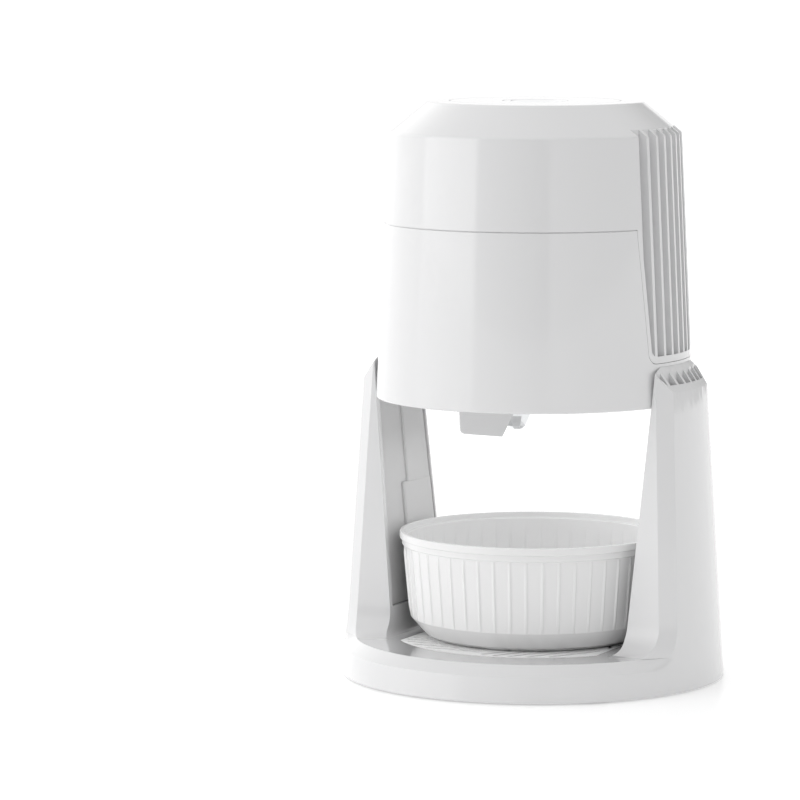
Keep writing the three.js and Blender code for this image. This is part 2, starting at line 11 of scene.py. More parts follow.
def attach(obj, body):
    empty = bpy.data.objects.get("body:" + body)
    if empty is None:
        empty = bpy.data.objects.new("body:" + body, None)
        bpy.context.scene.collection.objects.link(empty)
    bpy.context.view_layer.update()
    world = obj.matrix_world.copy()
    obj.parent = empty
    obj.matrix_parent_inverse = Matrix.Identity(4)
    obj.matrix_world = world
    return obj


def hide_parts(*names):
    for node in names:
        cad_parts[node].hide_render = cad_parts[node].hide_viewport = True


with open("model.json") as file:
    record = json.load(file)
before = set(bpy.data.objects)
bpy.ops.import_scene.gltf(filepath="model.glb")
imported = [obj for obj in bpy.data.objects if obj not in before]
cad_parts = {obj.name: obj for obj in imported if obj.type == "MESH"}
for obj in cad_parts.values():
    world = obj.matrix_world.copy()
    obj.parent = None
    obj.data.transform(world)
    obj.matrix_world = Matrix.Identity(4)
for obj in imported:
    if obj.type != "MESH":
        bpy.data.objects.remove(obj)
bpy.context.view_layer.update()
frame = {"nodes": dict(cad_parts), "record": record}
MM = 0.001

# ---- Sizes shared with the CAD model ----
TOP_Z, TOP_FLAT_R = 350.0, 65.7
SHOULDER_Z, SHOULDER_R = 331.4, 88.7
HEAD_BOTTOM_Z, HEAD_BOTTOM_R = 170.0, 96.4
PARTING_Z, GAP, SHELL_WALL = 276.5, 0.3, 2.5
TONGUE_BOTTOM_Z, TONGUE_LOW_HALF, TONGUE_TOP_HALF = 196.5, 33.0, 37.7
TONGUE_LOW_Z, TONGUE_HIGH_Z = 205.0, 274.0  # where the two half widths are measured
TONGUE_THICK, TONGUE_BORDER = 6.9, 2.7
GROOVE_BOTTOM_Z, GROOVE_DEPTH = 200.6, 4.7
GROOVE_PITCH, GROOVE_WIDTH, GROOVES_PER_HALF = 8.8, 6.6, 4
BASE_R, STAND_TAPER, BASE_BOTTOM_Z, TRAY_Z = 117.0, 0.062, 1.2, 23.0
RIM_CHAMFER, WINDOW_FILLET, INNER_FILLET = 6.4, 18.0, 5.0
LEG_TOP_R, LEG_TOP_Z, LEG_TOP_SLOPE, LEG_DRAFT = 105.4, 180.4, 1.4, 0.1
LEG_OPENING_LOW_Z, LEG_OPENING_HIGH_Z, LEDGE_Z = 40.0, 168.0, 113.0
LEG_HOLLOW_LOW_DEPTH, LEG_HOLLOW_HIGH_DEPTH = 18.0, 4.8
LEG_BORDER_FRONT, LEG_BORDER_REAR = 4.0, 1.6
PANEL_DEPTH, PANEL_BACK, COVER_BACK = 2.6, 4.4, 3.4  # into the leg, from its inner face
PILASTER_DEPTH, PILASTER_FROM_Y, STEP_DEPTH, STEP_FROM_Y = 0.9, 3.0, 0.4, -4.0
LEG_GROOVE_IN_R, LEG_GROOVE_OUT_R, LEG_GROOVE_BOTTOM_Z = 97.8, 103.0, 175.5
GRILLE_R, GRILLE_HALF_X, GRILLE_THICK = 84.0, 64.5, 2.4
SLIT_WIDTH, SLIT_PITCH, FIRST_SLIT, SLIT_BORDER = 2.5, 7.5, 41.0, 2.5
POCKET_PLAY = 0.4
PAN_R, PAN_HALF_X, PAN_FLOOR_Z = 81.2, 61.7, 9.0
BOWL_RIM_R, BOWL_RIM_Z, BOWL_RIBS, BOWL_TURN = 82.0, 88.0, 50, -0.9
RIB_LOW_Z, RIB_HIGH_Z, RIB_OUTSIDE, RIB_INSIDE = 37.0, 77.0, 0.75, 0.45
CHUTE_ANGLE, KNOB_X, KNOB_Y, STEM_HOLE_R = -61.0, -17.8, 13.3, 3.4
PASSAGE_FROM, PASSAGE_TO, PASSAGE_HALF = 16.0, 44.5, 7.0
LOWER_FLOOR_Z, CHAMBER_FLOOR_Z, CHAMBER_TOP_Z, CHAMBER_R = 174.5, 184.0, 268.0, 68.5
UNIT_FLOOR_Z, PUSHER_R, INLET_Z = 277.6, 62.0, 300.0
ROOF_Z, CAP_SEAT_Z = 344.5, 347.2
BOARD_Z, BOARD_TOP_Z = 337.2, 338.6
GEAR_PLATE_Z, GEAR_PLATE_TOP_Z = 294.0, 296.5
GEAR_Z, GEAR_TOP_Z = 284.0, 291.0
DISC_Z, DISC_TOP_Z = 256.0, 260.0
PINION_TEETH, GEAR_TEETH, GEAR_MODULE = 12, 60, 1.0
MOTOR_Y = GEAR_MODULE * (PINION_TEETH + GEAR_TEETH) / 2
SCREW_R = 2.7
ROUND = 192  # sides of the largest round skins

HEAD_TAPER = (HEAD_BOTTOM_R - SHOULDER_R) / (SHOULDER_Z - HEAD_BOTTOM_Z)
FILLET_Z = TRAY_Z + WINDOW_FILLET


def head_r(z):
    return HEAD_BOTTOM_R - HEAD_TAPER * (z - HEAD_BOTTOM_Z)


def stand_r(z):
    return BASE_R - STAND_TAPER * z


def inner_x(z):
    return 75.1 + 0.0924 * z


def leg_half(z):
    return 43.56 - 0.0574 * z


def leg_top(r):
    """The height of a leg's slanted top at a radius."""
    return LEG_TOP_Z - LEG_TOP_SLOPE * (r - LEG_TOP_R)


FILLET_Y = leg_half(FILLET_Z) + WINDOW_FILLET


# ---- Lighting ----
# Studio brightness by bearing in degrees, 0 in front (-Y) and positive to the right (+X).
# Broad light fills the left side, from the rear to the front, and is brightest at the left front.
# The front falls off into the dark, and the right side and the rest of the rear are dim.
STUDIO = [
    (-180, 0.5),
    (-171, 0.5),
    (-170, 1.01),
    (-143, 1.01),
    (-142, 1.35),
    (-72, 1.35),
    (-70, 2.0),
    (-23, 1.8),
    (-20, 0.6),
    (34, 0.15),
    (36, 0.62),
    (118, 0.6),
    (180, 0.5),
]
STUDIO_TOP = 0.98  # straight up
SIDES_TO, TOP_FROM = 0.4, 0.85  # the sky's height, of 1, where the bearings end and the top begins
FLOOR_GLOW = 0.26
BOWL_LAMP_Z = 145.0  # just below the chute
BOWL_LAMP_WIDTH = 130.0
BOWL_LAMP_W = 0.034

# ---- Camera, fitted to the photograph ----
LENS = 198.7
CAMERA_AT_M = (1.088, -2.444, 0.470)
CAMERA_PITCH, CAMERA_TURN = 83.55, 25.75


# ---- Mesh helpers ----
def mesh_object(name, points, faces):
    """An object from points in millimetres. Faces may be n-gons."""
    mesh = bpy.data.meshes.new(name)
    mesh.from_pydata([[c * MM for c in p] for p in points], [], faces)
    obj = bpy.data.objects.new(name, mesh)
    bpy.context.collection.objects.link(obj)
    edit = bmesh.new()
    edit.from_mesh(mesh)
    bmesh.ops.remove_doubles(edit, verts=edit.verts, dist=1e-7)
    bmesh.ops.recalc_face_normals(edit, faces=edit.faces)
    edit.to_mesh(mesh)
    edit.free()
    return obj


def apply_modifiers(obj):
    graph = bpy.context.evaluated_depsgraph_get()
    made = bpy.data.meshes.new_from_object(obj.evaluated_get(graph), depsgraph=graph)
    old = obj.data
    obj.modifiers.clear()
    obj.data = made
    bpy.data.meshes.remove(old)
    return obj


def combine(obj, other, operation):
    """A boolean with another object, which is used up."""
    modifier = obj.modifiers.new("combine", "BOOLEAN")
    modifier.operation = operation
    modifier.solver = "MANIFOLD"
    modifier.object = other
    apply_modifiers(obj)
    bpy.data.objects.remove(other)
    return obj


def cut(obj, *cutters):
    for cutter in cutters:
        combine(obj, cutter, "DIFFERENCE")
    return obj


def gather(name, objects):
    """Several separate closed meshes as one object, for use as one cutter or one piece."""
    edit = bmesh.new()
    for obj in objects:
        edit.from_mesh(obj.data)
        bpy.data.objects.remove(obj)
    mesh = bpy.data.meshes.new(name)
    edit.to_mesh(mesh)
    edit.free()
    made = bpy.data.objects.new(name, mesh)
    bpy.context.collection.objects.link(made)
    return made


def bevel(obj, width, segments=2, angle=40.0):
    modifier = obj.modifiers.new("bevel", "BEVEL")
    modifier.width = width * MM
    modifier.segments = segments
    modifier.limit_method = "ANGLE"
    modifier.angle_limit = math.radians(angle)
    modifier.miter_outer = "MITER_ARC"
    modifier.use_clamp_overlap = True
    return apply_modifiers(obj)


def tidy(obj, distance=0.004):
    """Welds the specks that a boolean leaves."""
    edit = bmesh.new()
    edit.from_mesh(obj.data)
    bmesh.ops.remove_doubles(edit, verts=edit.verts, dist=distance * MM)
    bmesh.ops.dissolve_degenerate(edit, edges=edit.edges, dist=distance * MM)
    edit.to_mesh(obj.data)
    edit.free()
    return obj


def smooth(obj, angle=38.0):
    """Smooth shading that keeps the creases sharper than the angle, with faces weighted by area."""
    mesh = obj.data
    mesh.shade_smooth()
    mesh.set_sharp_from_angle(angle=math.radians(angle))
    modifier = obj.modifiers.new("weighted", "WEIGHTED_NORMAL")
    modifier.keep_sharp = True
    return apply_modifiers(obj)


def strips(rows):
    """Faces between neighbouring rings of point numbers. On the axis a ring is one point, repeated."""
    faces = []
    for low, high in zip(rows, rows[1:]):
        for i in range(len(low)):
            j = (i + 1) % len(low)
            corners = [low[i], low[j], high[j], high[i]]
            face = [c for n, c in enumerate(corners) if c != corners[n - 1]]
            if len(set(face)) >= 3:
                faces.append(face)
    return faces


def lathe(name, profile, sides=160, x=0.0, y=0.0):
    """A closed profile of (radius, z) turned about a vertical axis."""
    points, rows = [], []
    for r, z in profile:
        if r < 1e-6:
            rows.append([len(points)] * sides)
            points.append((x, y, z))
            continue
        rows.append(list(range(len(points), len(points) + sides)))
        for i in range(sides):
            a = 2 * math.pi * i / sides
            points.append((x + r * math.cos(a), y + r * math.sin(a), z))
    on_axis = profile[0][0] < 1e-6 and profile[-1][0] < 1e-6
    if not on_axis:
        rows.append(rows[0])
    return mesh_object(name, points, strips(rows))


def cylinder(name, r, z0, z1, sides=48, x=0.0, y=0.0):
    return lathe(name, [(0, z0), (r, z0), (r, z1), (0, z1)], sides, x, y)


def rounded(profile, steps=4, closed=False):
    """A profile in which a corner with a third number is rounded to that radius."""
    result = []
    count = len(profile)
    for i, corner in enumerate(profile):
        here = Vector(corner[:2])
        radius = corner[2] if len(corner) > 2 else 0
        if radius <= 0 or (not closed and i in (0, count - 1)):
            result.append(tuple(here))
            continue
        before = Vector(profile[i - 1][:2]) - here
        after = Vector(profile[(i + 1) % count][:2]) - here
        angle = before.angle(after)
        if angle > math.radians(176):
            result.append(tuple(here))
            continue
        reach = radius / math.tan(angle / 2)
        reach = min(reach, before.length * 0.49, after.length * 0.49)
        start = here + before.normalized() * reach
        end = here + after.normalized() * reach
        for step in range(steps + 1):
            t = step / steps
            point = start * (1 - t) ** 2 + here * (2 * t * (1 - t)) + end * t**2
            result.append(tuple(point))
    return result


def prism(name, outline, low, high, axis="z"):
    """An outline pulled along an axis: (X, Y) along z, (Y, Z) along x, (X, Z) along y."""
    place = {
        "z": lambda a, b, c: (a, b, c),
        "x": lambda a, b, c: (c, a, b),
        "y": lambda a, b, c: (a, c, b),
    }[axis]
    count = len(outline)
    points = [place(a, b, low) for a, b in outline] + [place(a, b, high) for a, b in outline]
    faces = [list(range(count))[::-1], list(range(count, 2 * count))]
    for i in range(count):
        j = (i + 1) % count
        faces.append([i, j, count + j, count + i])
    return mesh_object(name, points, faces)


def box(name, x0, x1, y0, y1, z0, z1):
    return prism(name, [(x0, y0), (x1, y0), (x1, y1), (x0, y1)], z0, z1)


def loft(name, sections):
    """Rings of equal length joined into one closed skin."""
    count = len(sections[0])
    points = [p for section in sections for p in section]
    rows = [list(range(s * count, (s + 1) * count)) for s in range(len(sections))]
    return mesh_object(name, points, strips(rows) + [rows[0][::-1], rows[-1]])


def mirrored(obj, name):
    copy = bpy.data.objects.new(name, obj.data.copy())
    bpy.context.collection.objects.link(copy)
    copy.data.transform(Matrix.Scale(-1, 4, (1, 0, 0)))
    copy.data.flip_normals()
    return copy


def both_sides(obj):
    return gather(obj.name + "_both", [mirrored(obj, obj.name + "_m"), obj])


def aimed(obj, bearing):
    """Turns what was drawn along +X to a bearing measured from the front towards the right."""
    obj.data.transform(Matrix.Rotation(math.radians(bearing - 90), 4, "Z"))
    return obj


def finish_piece(obj, body, nodes, material):
    obj.data.materials.clear()
    obj.data.materials.append(material)
    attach(obj, body)
    if nodes:
        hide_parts(*nodes)
    return obj


# ---- Materials ----
def new_material(name):
    material = bpy.data.materials.new(name)
    material.use_nodes = True
    nodes = material.node_tree.nodes
    return material, nodes, material.node_tree.links, nodes["Principled BSDF"]


def noise(nodes, links, vector, scale, detail):
    made = nodes.new("ShaderNodeTexNoise")
    made.inputs["Scale"].default_value = scale
    made.inputs["Detail"].default_value = detail
    links.new(vector, made.inputs["Vector"])
    return made


def vary_gloss(nodes, links, shader, source, roughness, swing):
    """Roughness that follows a noise, up and down by a share of itself."""
    gloss = nodes.new("ShaderNodeMapRange")
    gloss.inputs["To Min"].default_value = roughness * (1 - swing)
    gloss.inputs["To Max"].default_value = roughness * (1 + swing)
    links.new(source.outputs["Fac"], gloss.inputs["Value"])
    links.new(gloss.outputs["Result"], shader.inputs["Roughness"])


def emboss(nodes, links, shader, source, strength, depth_m):
    """A fine relief that follows a noise."""
    bump = nodes.new("ShaderNodeBump")
    bump.inputs["Strength"].default_value = strength
    bump.inputs["Distance"].default_value = depth_m
    links.new(source.outputs["Fac"], bump.inputs["Height"])
    links.new(bump.outputs["Normal"], shader.inputs["Normal"])


def moulded(
    name, color, roughness, grain=0.02, grain_size=900.0, coat=0.0, spread=0.03, metallic=0.0
):
    """Moulded or cast surface: slight colour drift, uneven gloss, and a fine skin texture."""
    material, nodes, links, shader = new_material(name)
    shader.inputs["Metallic"].default_value = metallic
    shader.inputs["Coat Weight"].default_value = coat
    shader.inputs["Coat Roughness"].default_value = 0.04
    place = nodes.new("ShaderNodeTexCoord")
    drift = noise(nodes, links, place.outputs["Object"], 14.0, 3.0)
    tint = nodes.new("ShaderNodeMix")
    tint.data_type = "RGBA"
    links.new(drift.outputs["Fac"], tint.inputs["Factor"])
    tint.inputs["A"].default_value = [c * (1 - spread) for c in color] + [1]
    tint.inputs["B"].default_value = [min(1, c * (1 + spread)) for c in color] + [1]
    links.new(tint.outputs["Result"], shader.inputs["Base Color"])
    vary_gloss(nodes, links, shader, drift, roughness, 0.15)
    fine = noise(nodes, links, place.outputs["Object"], grain_size, 2.0)
    emboss(nodes, links, shader, fine, grain, 0.0004)
    return material


def brushed(name, color, roughness, stretch=(1, 1, 40), scale=60.0):
    """Metal with fine lines along one direction."""
    material, nodes, links, shader = new_material(name)
    shader.inputs["Base Color"].default_value = [*color, 1]
    shader.inputs["Metallic"].default_value = 1.0
    place = nodes.new("ShaderNodeTexCoord")
    mapping = nodes.new("ShaderNodeMapping")
    mapping.inputs["Scale"].default_value = stretch
    links.new(place.outputs["Object"], mapping.inputs["Vector"])
    lines = noise(nodes, links, mapping.outputs["Vector"], scale, 6.0)
    vary_gloss(nodes, links, shader, lines, roughness, 0.3)
    emboss(nodes, links, shader, lines, 0.08, 0.0002)
    return material


def grey(level):
    return (level, level, level)


SHELL_WHITE = moulded(
    "shell_white", (0.74, 0.74, 0.745), 0.13, grain=0.006, grain_size=700, coat=1.0, spread=0.004
)
# The tray grille and the bowl are set lighter than the shell's white. This is painted light: it stands
# in for fill light that the lamps don't bring under the head.
TRAY_WHITE_PAINTED_FILL = moulded("tray_white_painted_fill", grey(0.93), 0.55, spread=0.006)
BOWL_WHITE_PAINTED_FILL = moulded("bowl_white", grey(0.86), 0.24, coat=0.1, spread=0.008)
SATIN_WHITE = moulded("satin_white", grey(0.7), 0.42, grain=0.06, grain_size=1600, spread=0.01)
RUBBER = moulded("rubber", grey(0.03), 0.75, grain=0.25, grain_size=2200, spread=0.1)
BLACK_PLASTIC = moulded("black_plastic", grey(0.02), 0.45, grain=0.12, grain_size=1800, spread=0.05)
BOARD_GREEN = moulded(
    "board_green", (0.02, 0.16, 0.07), 0.4, grain=0.05, grain_size=1200, coat=0.3, spread=0.1
)
CHROME = moulded(
    "chrome", (0.82, 0.83, 0.84), 0.05, grain=0.01, grain_size=300, spread=0.01, metallic=1.0
)
STEEL = brushed("steel", (0.62, 0.63, 0.64), 0.28)
MOTOR_STEEL = brushed("motor_steel", (0.5, 0.51, 0.52), 0.38, stretch=(1, 1, 8), scale=90)
BRASS = moulded(
    "brass", (0.72, 0.52, 0.22), 0.25, grain=0.05, grain_size=500, spread=0.05, metallic=1.0
)
LOOKS = {
    "white_shell": SHELL_WHITE,
    "bowl_white": BOWL_WHITE_PAINTED_FILL,
    "inner_white": SATIN_WHITE,
    "chrome": CHROME,
    "steel": STEEL,
    "motor_steel": MOTOR_STEEL,
    "brass": BRASS,
    "rubber": RUBBER,
    "black_plastic": BLACK_PLASTIC,
    "board_green": BOARD_GREEN,
}
for subpart in frame["record"]["subparts"]:
    held = frame["nodes"][subpart["node"]]
    for material_slot in held.material_slots:
        material_slot.material = LOOKS[subpart["material_slot"]]


# ---- Stand ----
def window_distance(y, z):
    if abs(y) >= FILLET_Y:
        return TRAY_Z - z
    if z < FILLET_Z:
        return math.hypot(FILLET_Y - abs(y), FILLET_Z - z) - WINDOW_FILLET
    return leg_half(z) - abs(y)


def rim_r(y, z):
    """The radius of the stand's outside at a height, less the chamfer along the window's edge."""
    return stand_r(z) - max(0.0, RIM_CHAMFER - window_distance(y, z))


def leg_outline(z):
    """A right leg's horizontal section from its inner front corner round to its inner rear corner."""
    arc_steps, chamfer_steps = 20, 7
    below = z < FILLET_Z
    drop = min(FILLET_Z - z, WINDOW_FILLET)
    half = FILLET_Y - math.sqrt(WINDOW_FILLET**2 - drop**2) if below else leg_half(z)
    if below:
        chamfer_from = FILLET_Y - math.sqrt((WINDOW_FILLET + RIM_CHAMFER) ** 2 - drop**2)
    else:
        chamfer_from = half - RIM_CHAMFER
    rise = min(TRAY_Z + INNER_FILLET - z, INNER_FILLET)
    inward = INNER_FILLET - math.sqrt(INNER_FILLET**2 - rise**2) if rise > 0 else 0
    edge_x = math.sqrt((stand_r(z) - RIM_CHAMFER) ** 2 - half**2)
    x = min(inner_x(z) - inward, edge_x - 0.5)
    near = half - LEG_DRAFT * (edge_x - x)
    sweep = math.asin(chamfer_from / stand_r(z))
    chamfer = []
    for i in range(1, chamfer_steps):
        y = half + (chamfer_from - half) * i / chamfer_steps
        chamfer.append((math.sqrt(rim_r(y, z) ** 2 - y**2), y))
    points = [(x, -near), (edge_x, -half)] + [(px, -py) for px, py in chamfer]
    for i in range(arc_steps + 1):
        a = -sweep + 2 * sweep * i / arc_steps
        points.append((stand_r(z) * math.cos(a), stand_r(z) * math.sin(a)))
    points += chamfer[::-1] + [(edge_x, half), (x, near)]
    return [(px, py, z) for px, py in points]


def stand_block():
    """Base and both legs as one skin: rings up to the tray's level, then a tube of rings up each leg."""
    fillet_steps = 12
    turns = [math.pi / 2 * i / fillet_steps for i in range(fillet_steps + 1)]
    leg_levels = [FILLET_Z - WINDOW_FILLET * math.cos(turn) for turn in turns]
    leg_levels += [80, 110, 140, 165, 180, 190, 197.5]
    right = [leg_outline(z) for z in leg_levels]
    angles = [math.atan2(y, x) for x, y, _ in right[0][1:-1]]
    open_from, open_steps = angles[-1], 48
    for i in range(1, open_steps):
        angles.append(open_from + (math.pi - 2 * open_from) * i / open_steps)
    angles += [a + math.pi for a in angles]
    count = len(angles)
    points, rings = [], []
    for z in (BASE_BOTTOM_Z, 4, 8, 12, TRAY_Z - RIM_CHAMFER, 18, 19.5, 21, 22.2, TRAY_Z):
        rings.append(list(range(len(points), len(points) + count)))
        for a in angles:
            r = rim_r(stand_r(z) * math.sin(a), z)
            points.append((r * math.cos(a), r * math.sin(a), z))
    faces = strips(rings) + [rings[0][::-1]]
    top = rings[-1][0]
    per_leg = len(right[0])
    outer = per_leg - 2
    starts = []
    for turn in (0, 1):
        sign = -1 if turn else 1
        base = top + turn * (count // 2)
        rows = [[len(points)] + [base + i for i in range(outer)] + [len(points) + 1]]
        starts.append(rows[0])
        for x, y, z in (right[0][0], right[0][-1]):
            points.append((sign * x, sign * y, z))
        for section in right[1:]:
            rows.append(list(range(len(points), len(points) + per_leg)))
            points.extend((sign * x, sign * y, z) for x, y, z in section)
        faces += strips(rows) + [rows[-1]]
    # The tray's face runs round both legs, whose inner corners stand inside the base's edge.
    half_count = count // 2
    tray = [top + (outer - 1) + i for i in range(half_count - outer + 2)]
    tray += [starts[1][0], starts[1][-1]]
    tray += [top + (half_count + outer - 1 + i) % count for i in range(half_count - outer + 2)]
    tray += [starts[0][0], starts[0][-1]]
    faces.append(tray)
    return mesh_object("stand_skin", points, faces)


def clipped_disc(name, r, half, z0, z1):
    """A round plate with two flat sides at X = +-half."""
    limit = math.acos(half / r)
    outline = []
    arc_steps = 80
    for side in (0, 1):
        for i in range(arc_steps + 1):
            a = limit + (math.pi - 2 * limit) * i / arc_steps + side * math.pi
            outline.append((r * math.cos(a), r * math.sin(a)))
    return prism(name, outline, z0, z1)


def groove_boxes(x0, x1, z0, z1):
    """One box for each cooling groove of a side, the same on the head and on the leg top."""
    boxes = []
    for number in range(-GROOVES_PER_HALF, GROOVES_PER_HALF):
        y = GROOVE_PITCH * (number + 0.5)
        half = GROOVE_WIDTH / 2
        boxes.append(box("groove", x0, x1, y - half, y + half, z0, z1))
    return boxes


def leg_slice(z, depth_from, depth_to, y_from, y_to):
    x0, x1 = inner_x(z) + depth_from, inner_x(z) + depth_to
    return [(x0, y_from, z), (x1, y_from, z), (x1, y_to, z), (x0, y_to, z)]


def inner_half(z):
    edge_x = math.sqrt((stand_r(z) - RIM_CHAMFER) ** 2 - leg_half(z) ** 2)
    return leg_half(z) - LEG_DRAFT * (edge_x - inner_x(z))


def opening_front(z):
    return LEG_BORDER_FRONT - inner_half(z)


def opening_rear(z):
    return inner_half(z) - LEG_BORDER_REAR


def leg_grooves():
    """Slots in a slanted leg top, kept inside a border of about 3 mm."""
    inner, outer = LEG_GROOVE_IN_R, LEG_GROOVE_OUT_R
    band = lathe("band", [(inner, 172), (outer, 172), (outer, 206), (inner, 206)], ROUND)
    corners = [(84, -31.6), (94, -31.6), (103.5, -24.4), (103.5, 24.4), (94, 31.6), (84, 31.6)]
    combine(band, prism("corners", corners, 170, 208), "INTERSECT")
    slots = gather("leg_slots", groove_boxes(84, 108, LEG_GROOVE_BOTTOM_Z, 204))
    return combine(slots, band, "INTERSECT")


stand = stand_block()
bevel(stand, 1.1, 3, 28)
tidy(stand, 0.01)
above_legs_z = 210
over_head = [
    (0, HEAD_BOTTOM_Z - GAP),
    (head_r(HEAD_BOTTOM_Z) + GAP, HEAD_BOTTOM_Z - GAP),
    (head_r(above_legs_z) + GAP, above_legs_z),
    (0, above_legs_z),
]
cut(stand, lathe("over_head", over_head, ROUND))
over_legs = [(90, leg_top(90)), (125, leg_top(125)), (125, 230), (90, 230)]
cut(stand, lathe("over_legs", over_legs, ROUND))
cut(stand, both_sides(leg_grooves()))
hollow = loft("hollow", [
    leg_slice(z, -8, depth, opening_front(z), opening_rear(z))
    for z, depth in (
        (LEG_OPENING_LOW_Z, LEG_HOLLOW_LOW_DEPTH),
        (LEG_OPENING_HIGH_Z, LEG_HOLLOW_HIGH_DEPTH),
    )
])
cut(stand, both_sides(hollow))
tray_pocket_z = TRAY_Z - GRILLE_THICK - GAP
cut(
    stand,
    clipped_disc(
        "tray_cut", GRILLE_R + POCKET_PLAY, GRILLE_HALF_X + POCKET_PLAY, tray_pocket_z, TRAY_Z + 5
    ),
    clipped_disc("pan_cut", PAN_R + POCKET_PLAY, PAN_HALF_X + POCKET_PLAY, 5.5, tray_pocket_z + 1),
    cylinder("under_cut", 113, -1, 6.5, ROUND),
)
tidy(stand)
bevel(stand, 0.45)
smooth(stand)
finish_piece(stand, "stand", ["stand_shell"], SHELL_WHITE)


def leg_cover():
    """A recessed panel with a rounded rear pilaster, which steps out below a ledge."""
    low, high = LEG_OPENING_LOW_Z + GAP, LEG_OPENING_HIGH_Z - GAP

    def block(name, z0, z1, depth_from, depth_to, y_from):
        levels = [z0, (z0 + z1) / 2, z1]
        sections = [
            leg_slice(z, depth_from, depth_to, y_from(z), opening_rear(z) - GAP) for z in levels
        ]
        return loft(name, sections)

    panel = block("panel", low, high, PANEL_DEPTH, PANEL_BACK, lambda z: opening_front(z) + GAP)
    pilaster = block("pilaster", low, high, PILASTER_DEPTH, COVER_BACK, lambda z: PILASTER_FROM_Y)
    step = block("step", low, LEDGE_Z, STEP_DEPTH, COVER_BACK, lambda z: STEP_FROM_Y)
    combine(panel, bevel(pilaster, 1.2, 5), "UNION")
    combine(panel, bevel(step, 1.4, 5), "UNION")
    tidy(panel)
    return smooth(bevel(panel, 0.25))


right_cover = leg_cover()
left_cover = smooth(mirrored(right_cover, "leg_cover_left_skin"))
right_cover.name = "leg_cover_right_skin"
finish_piece(right_cover, "stand", ["leg_cover_right"], SATIN_WHITE)
finish_piece(left_cover, "stand", ["leg_cover_left"], SATIN_WHITE)


# ---- Head shells ----
def within(depth):
    """Everything nearer the axis than a depth below the head's side."""
    low, high = 150.0, 356.0
    profile = [(0, low), (head_r(low) - depth, low), (head_r(high) - depth, high), (0, high)]
    return lathe("within", profile, ROUND)


def tongue_outline(spread, bottom, top, corner):
    """A tongue's face as (Y, Z), widened by a spread and round at its two lower corners."""
    slope = (TONGUE_TOP_HALF - TONGUE_LOW_HALF) / (TONGUE_HIGH_Z - TONGUE_LOW_Z)
    arc_steps = 8

    def half(z):
        return spread + min(TONGUE_LOW_HALF + slope * (z - TONGUE_LOW_Z), TONGUE_TOP_HALF)

    side = []
    for i in range(arc_steps + 1):
        a = math.pi / 2 * i / arc_steps
        z = bottom + corner - corner * math.cos(a)
        side.append((half(z) - corner + corner * math.sin(a), z))
    side += [(half(TONGUE_HIGH_Z), TONGUE_HIGH_Z), (half(TONGUE_HIGH_Z), top)]
    return side + [(-y, z) for y, z in reversed(side)]


def head_solid(name):
    profile = rounded([
        (0, 180),
        (head_r(180), 180),
        (SHOULDER_R, SHOULDER_Z, 2.5),
        (TOP_FLAT_R, TOP_Z, 3.0),
        (0, TOP_Z),
    ], steps=5)
    return lathe(name, profile, ROUND)


def tongue_prism(spread, bottom, top, corner=6.0):
    return prism("tongue", tongue_outline(spread, bottom, top, corner), 60, 120, "x")


def passage_cutter(top):
    """The way that the shaved ice falls."""
    return aimed(
        box("passage", PASSAGE_FROM, PASSAGE_TO, -PASSAGE_HALF, PASSAGE_HALF, 160, top), CHUTE_ANGLE
    )


def stem_cutter(top):
    """The hole of the knob's stem."""
    return cylinder("stem_hole", STEM_HOLE_R, 160, top, 48, KNOB_X, KNOB_Y)


lower_top = PARTING_Z - GAP
lip_r = head_r(lower_top) - 0.8
lower_profile = rounded([
    (0, LOWER_FLOOR_Z - SHELL_WALL),
    (92.6, LOWER_FLOOR_Z - SHELL_WALL, 0.4),
    (93.6, HEAD_BOTTOM_Z, 0.4),
    (head_r(HEAD_BOTTOM_Z), HEAD_BOTTOM_Z, 1.6),
    (head_r(lower_top), lower_top, 0.3),
    (lip_r, lower_top),
    (lip_r, PARTING_Z + 0.2),
    (head_r(lower_top) - SHELL_WALL, PARTING_Z + 0.2, 0.35),
    (head_r(LOWER_FLOOR_Z) - SHELL_WALL, LOWER_FLOOR_Z, 1.0),
    (0, LOWER_FLOOR_Z),
])
head_lower = lathe("head_lower_skin", lower_profile, ROUND)
recess_depth = TONGUE_THICK + GAP
backing = tongue_prism(3.4, TONGUE_BOTTOM_Z - 4, lower_top)
combine(backing, head_solid("limit"), "INTERSECT")
cut(backing, within(recess_depth + SHELL_WALL))
combine(head_lower, both_sides(backing), "UNION")
recess = cut(tongue_prism(0.28, TONGUE_BOTTOM_Z - 0.28, 280), within(recess_depth))
cut(head_lower, both_sides(recess))
cut(head_lower, passage_cutter(178), stem_cutter(181))
tidy(head_lower)
bevel(head_lower, 0.3)
smooth(head_lower)
finish_piece(head_lower, "stand", ["chamber_housing"], SHELL_WHITE)

# The upper shell and its tongues are one solid, so their outsides need no joining.
upper_bottom = PARTING_Z + GAP
head_upper = head_solid("head_upper_skin")
keep = cylinder("keep", 130, upper_bottom, 360, 64)
combine(keep, both_sides(tongue_prism(0, TONGUE_BOTTOM_Z, 300)), "UNION")
combine(head_upper, keep, "INTERSECT")
inside = lathe("inside", [
    (0, 150),
    (head_r(150) - SHELL_WALL, 150),
    (head_r(330) - SHELL_WALL, 330.1),
    (68.5, ROOF_Z),
    (46, ROOF_Z),
    (46, CAP_SEAT_Z),
    (52, CAP_SEAT_Z),
    (52, 352),
    (0, 352),
], ROUND)
pads = cut(tongue_prism(0.4, TONGUE_BOTTOM_Z - 5, 343), within(TONGUE_THICK))
cut(inside, both_sides(pads))
cut(head_upper, inside)
for slot in groove_boxes(60, 111, GROOVE_BOTTOM_Z - 1, 345):
    combine(slot, tongue_prism(-TONGUE_BORDER, GROOVE_BOTTOM_Z, 352, 4.0), "INTERSECT")
    cut(slot, within(GROOVE_DEPTH))
    cut(head_upper, both_sides(tidy(slot)))
cut(head_upper, box("inlet_cut", -13, 13, 70, 100, INLET_Z - 9, INLET_Z + 9))
tidy(head_upper)
bevel(head_upper, 0.35)
